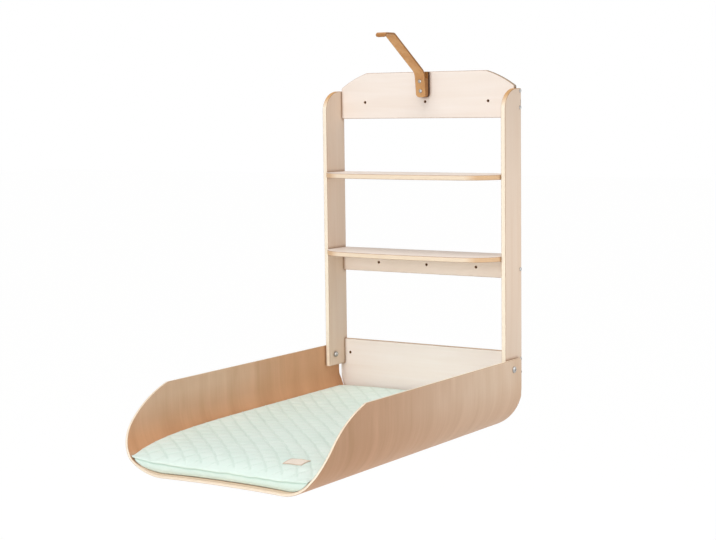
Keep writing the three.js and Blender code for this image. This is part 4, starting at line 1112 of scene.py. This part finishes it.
def cap_nut():
    """A hexagon with chamfered corners under a dome."""
    flat, height = 0.0065, 0.008
    points, faces = [], []
    sides = 48
    levels = [(0.0, 0.96), (0.0004, 1.0), (0.0036, 1.0), (0.0046, 0.0)]
    for level, share in levels:
        for k in range(sides):
            a = 2 * math.pi * k / sides
            hexagon = flat / math.cos((a + math.pi / 6) % (math.pi / 3) - math.pi / 6)
            radius = min(hexagon, flat * 1.12) * share if share else flat * 0.93
            points.append((radius * math.cos(a), radius * math.sin(a), level))
    for t in np.linspace(0.15, math.pi / 2, 8):
        for k in range(sides):
            a = 2 * math.pi * k / sides
            radius = flat * 0.88 * math.cos(t)
            points.append((radius * math.cos(a), radius * math.sin(a), 0.0046 + (height - 0.0046) * math.sin(t)))
    rings = len(points) // sides
    for ring in range(rings - 1):
        for k in range(sides):
            a, b = ring * sides + k, ring * sides + (k + 1) % sides
            faces.append((a, b, b + sides, a + sides))
    faces.append(tuple(range(sides - 1, -1, -1)))
    mesh = bpy.data.meshes.new("nut_pattern")
    mesh.from_pydata(points, [], faces)
    form = bmesh.new()
    form.from_mesh(mesh)
    bmesh.ops.remove_doubles(form, verts=form.verts, dist=1e-6)
    bmesh.ops.recalc_face_normals(form, faces=form.faces)
    form.to_mesh(mesh)
    form.free()
    shade(mesh)
    return bpy.data.objects.new("nut_pattern", mesh)


nut_places = []
for side, inward in (("left", 1), ("right", -1)):
    nut_places.append((seat(f"pivot_nut_{side}", X, -inward), (inward, 0, 0), (1, 1, 1)))
nuts = set_at("pivot_nuts", cap_nut(), nut_places, steel, seed=7)
placed(nuts, "frame", "steel", "pivot_nut_left", "pivot_nut_right")

ring = [(0.0043, 0), (0.0087, 0), (0.009, 0.0003), (0.009, 0.0019), (0.0087, 0.0022), (0.0043, 0.0022), (0.0043, 0)]
washer = turned("washer_pattern", ring, sides=48)
washer_places = []
for side, outward in (("left", -1), ("right", 1)):
    washer_places.append((seat(f"pivot_washer_{side}", X, -outward), (outward, 0, 0), (1, 1, 1)))
washers = set_at("pivot_washers", washer, washer_places, nylon, seed=3)
placed(washers, "frame", "nylon", "pivot_washer_left", "pivot_washer_right")

for pattern_piece in (screw, bolt, washer, bpy.data.objects["nut_pattern"]):
    bpy.data.objects.remove(pattern_piece)
print("fasteners:", [o.name for o in (screws, bolts, nuts, washers)])

# %% [markdown]
# ## Stitches
# The quilting and the label are sewn with lock stitches, of which the upper thread shows. A second tree
# turns each sewn line into a curve, walks along it in steps of one stitch, and lays a short thread at
# every step, turned along the line.

# %% Stitch node tree
stitch_tree, given = new_tree("stitch_lines", Lines="Geometry", Pattern="Object", Pitch="Float", Finish="Material")
line = add(stitch_tree, "GeometryNodeMeshToCurve", [given["Lines"]])
line = add(stitch_tree, "GeometryNodeResampleCurve", {"Curve": line, "Length": given["Pitch"]}, mode="LENGTH")
tangent = add(stitch_tree, "GeometryNodeInputTangent")
rotation = add(stitch_tree, "FunctionNodeAlignRotationToVector", {"Vector": tangent}, axis="Z")
pattern = add(stitch_tree, "GeometryNodeObjectInfo", {"Object": given["Pattern"]}, out="Geometry")
each = {"Points": line, "Instance": pattern, "Rotation": rotation}
real = add(stitch_tree, "GeometryNodeRealizeInstances", [add(stitch_tree, "GeometryNodeInstanceOnPoints", each)])
finished = add(stitch_tree, "GeometryNodeSetMaterial", {0: real, "Material": given["Finish"]})
add(stitch_tree, "NodeGroupOutput", [finished])


def stitched(name, lines, finish, pitch):
    """Stitches along lines of points, as one mesh."""
    points, edges = [], []
    for line in lines:
        edges += [(len(points) + at, len(points) + at + 1) for at in range(len(line) - 1)]
        points += [tuple(p) for p in line]
    mesh = bpy.data.meshes.new(name + "_lines")
    mesh.from_pydata(points, edges, [])
    return made_by(stitch_tree, name, mesh, Pattern=thread_bit, Pitch=pitch, Finish=finish)


# %% Quilting and label stitches
STITCH, THREAD, PITCH = 0.0036, 0.00045, 0.0055
ends = [(0, -STITCH / 2), (THREAD, -STITCH / 3), (THREAD, STITCH / 3), (0, STITCH / 2)]
thread_bit = turned("thread_pattern", ends, sides=4)
top_cover = cover[:top_count].reshape(top.shape)
sewn_lines = []
for start_r in range(-across_count, along_count + 1, 2 * FINE):
    for slope, offset in ((1, start_r), (-1, start_r + across_count)):
        line = [
            top_cover[offset + slope * c, c] + (0, 0, 0.0002)
            for c in range(across_count + 1) if 0 <= offset + slope * c <= along_count
        ]
        sewn_lines += [line] if len(line) > 2 else []
quilting = stitched("quilting_stitches", sewn_lines, thread_cotton, PITCH)
placed(quilting, "tray", "mattress_cotton")
border = 0.0016
west, east = label_rows[0] + border, label_rows[-1] - border
south, north = label_y[0] + border, label_y[1] - border
corners = [(west, south), (east, south), (east, north), (west, north), (west, south)]
hem = []
for first, second in zip(corners, corners[1:]):
    for share in np.linspace(0, 1, 20):
        x, y = np.array(first) * (1 - share) + np.array(second) * share
        hem.append((x, y, label_height(x, y) + 0.0010))
label_hem = stitched("label_stitches", [hem], label_thread, 0.0030)
placed(label_hem, "tray", "label_cloth")
bpy.data.objects.remove(thread_bit)
print("stitches:", len(sewn_lines), "lines with", len(quilting.data.polygons), "faces")

# %% [markdown]
# ## Pieces that stay as the CAD made them
# The dowels are right as they are. They sit inside the shelves and uprights and only need their wood.

# %% Dowels
dowel_wood, tree, surface = new_material("beech_dowel", Specular_IOR_Level=0.3)
place = add(tree, "TexCoord", out="Object")
place = add(tree, "Mapping", {"Vector": place, "Scale": cells(25, 0.8, 0.8)})
flutes = add(tree, "TexNoise", {"Vector": place, "Scale": 1.0, "Detail": 3.0})
ends_of = {0: flutes, 6: colour("#E8CFA6"), 7: colour("#CFAF80")}
tree.links.new(add(tree, "Mix", ends_of, out=2, data_type="RGBA"), surface["Base Color"])
tree.links.new(add(tree, "MapRange", (flutes, 0.3, 0.7, 0.55, 0.75)), surface["Roughness"])
tree.links.new(add(tree, "Bump", {"Height": flutes, "Distance": 0.0001, "Strength": 0.4}), surface["Normal"])
dowels = [node for name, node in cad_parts.items() if "_dowel_" in name]
for node in dowels:
    node.data.materials.clear()
    node.data.materials.append(dowel_wood)
print("dowels:", len(dowels))

# %% [markdown]
# ## Floor, light and camera
# The photograph is a studio cut-out: white all round, and light that comes softly from the front. The
# floor lies where it would in a room, under a tray that hangs at changing height, and keeps the
# object's faint shadow.

# %% Floor
floor_z = tray_low.z - 0.85
floor_mesh = bpy.data.meshes.new("floor")
reach = 30.0
floor_mesh.from_pydata([(-reach, -reach, floor_z), (reach, -reach, floor_z), (reach, reach, floor_z), (-reach, reach, floor_z)], [], [(0, 1, 2, 3)])
floor = bpy.data.objects.new("floor", floor_mesh)
bpy.context.scene.collection.objects.link(floor)
paint = bpy.data.materials.new("floor_paint")
paint.use_nodes = True
tree = paint.node_tree
tree.nodes.clear()
white = add(tree, "Emission", {"Color": (1, 1, 1, 1), "Strength": 1.06})
matt = add(tree, "BsdfDiffuse", {"Color": colour("#F4F3F0")})
straight, mirrored = [add(tree, "LightPath", out=ray) for ray in ("Is Camera Ray", "Is Glossy Ray")]
seen = add(tree, "Math", (straight, mirrored), operation="MAXIMUM")
share = add(tree, "Math", (seen, 0.65, 0.25), operation="MULTIPLY_ADD")
both = add(tree, "MixShader", (share, matt, white))
add(tree, "OutputMaterial", [both])
floor_mesh.materials.append(paint)

# %% Light
AMBIENT = 0.45
world = bpy.data.worlds.new("studio")
bpy.context.scene.world = world
world.use_nodes = True
tree = world.node_tree
tree.nodes.clear()
straight, mirrored = [add(tree, "LightPath", out=ray) for ray in ("Is Camera Ray", "Is Glossy Ray")]
seen = add(tree, "Math", (straight, mirrored), operation="MAXIMUM")
strength = add(tree, "Math", (seen, 1 - AMBIENT, AMBIENT), operation="MULTIPLY_ADD")
sky = add(tree, "Background", {"Color": (1, 1, 1, 1), "Strength": strength})
add(tree, "OutputWorld", [sky])


def lamp(name, place, target, size, power, spread=180):
    """A square soft box that looks at a point, its light within a spread of degrees."""
    data = bpy.data.lights.new(name, "AREA")
    data.shape, data.size, data.energy, data.spread = "SQUARE", size, power, math.radians(spread)
    made = bpy.data.objects.new(name, data)
    made.location = place
    made.rotation_mode = "QUATERNION"
    made.rotation_quaternion = (Vector(target) - Vector(place)).to_track_quat("-Z", "Y")
    made.visible_camera = False
    bpy.context.scene.collection.objects.link(made)
    return made


middle = Vector((0, -0.3, -0.4))
lamp("key", (0.2, -4.6, -0.1), middle, 2.0, 55)
lamp("top", (0.1, -1.55, 2.6), middle, 1.6, 43)
lamp("fill", (0.8, 0.05, -0.35), (0.26, -0.05, -0.35), 0.6, 1.4)
lamp("low", (0.25, -1.9, -0.15), (0.08, 0, -0.72), 0.4, 0.2, 40)

# %% Camera
yaw, pitch, roll = math.radians(33.278), math.radians(5.767), math.radians(-0.714)
forward = Vector((-math.sin(yaw) * math.cos(pitch), math.cos(yaw) * math.cos(pitch), -math.sin(pitch)))
right = Vector((math.cos(yaw), math.sin(yaw), 0))
up = right.cross(forward)
right, up = (
    math.cos(roll) * right + math.sin(roll) * up,
    -math.sin(roll) * right + math.cos(roll) * up,
)
camera_data = bpy.data.cameras.new("camera")
camera_data.sensor_fit, camera_data.sensor_width, camera_data.lens = "HORIZONTAL", 36.0, 81.5
camera = bpy.data.objects.new("camera", camera_data)
camera.matrix_world = Matrix.Translation((2.08168, -3.49743, -0.02596)) @ Matrix(
    (right, up, -forward)
).transposed().to_4x4()
bpy.context.scene.collection.objects.link(camera)
bpy.context.scene.camera = camera
bpy.context.scene.view_settings.view_transform = "Standard"
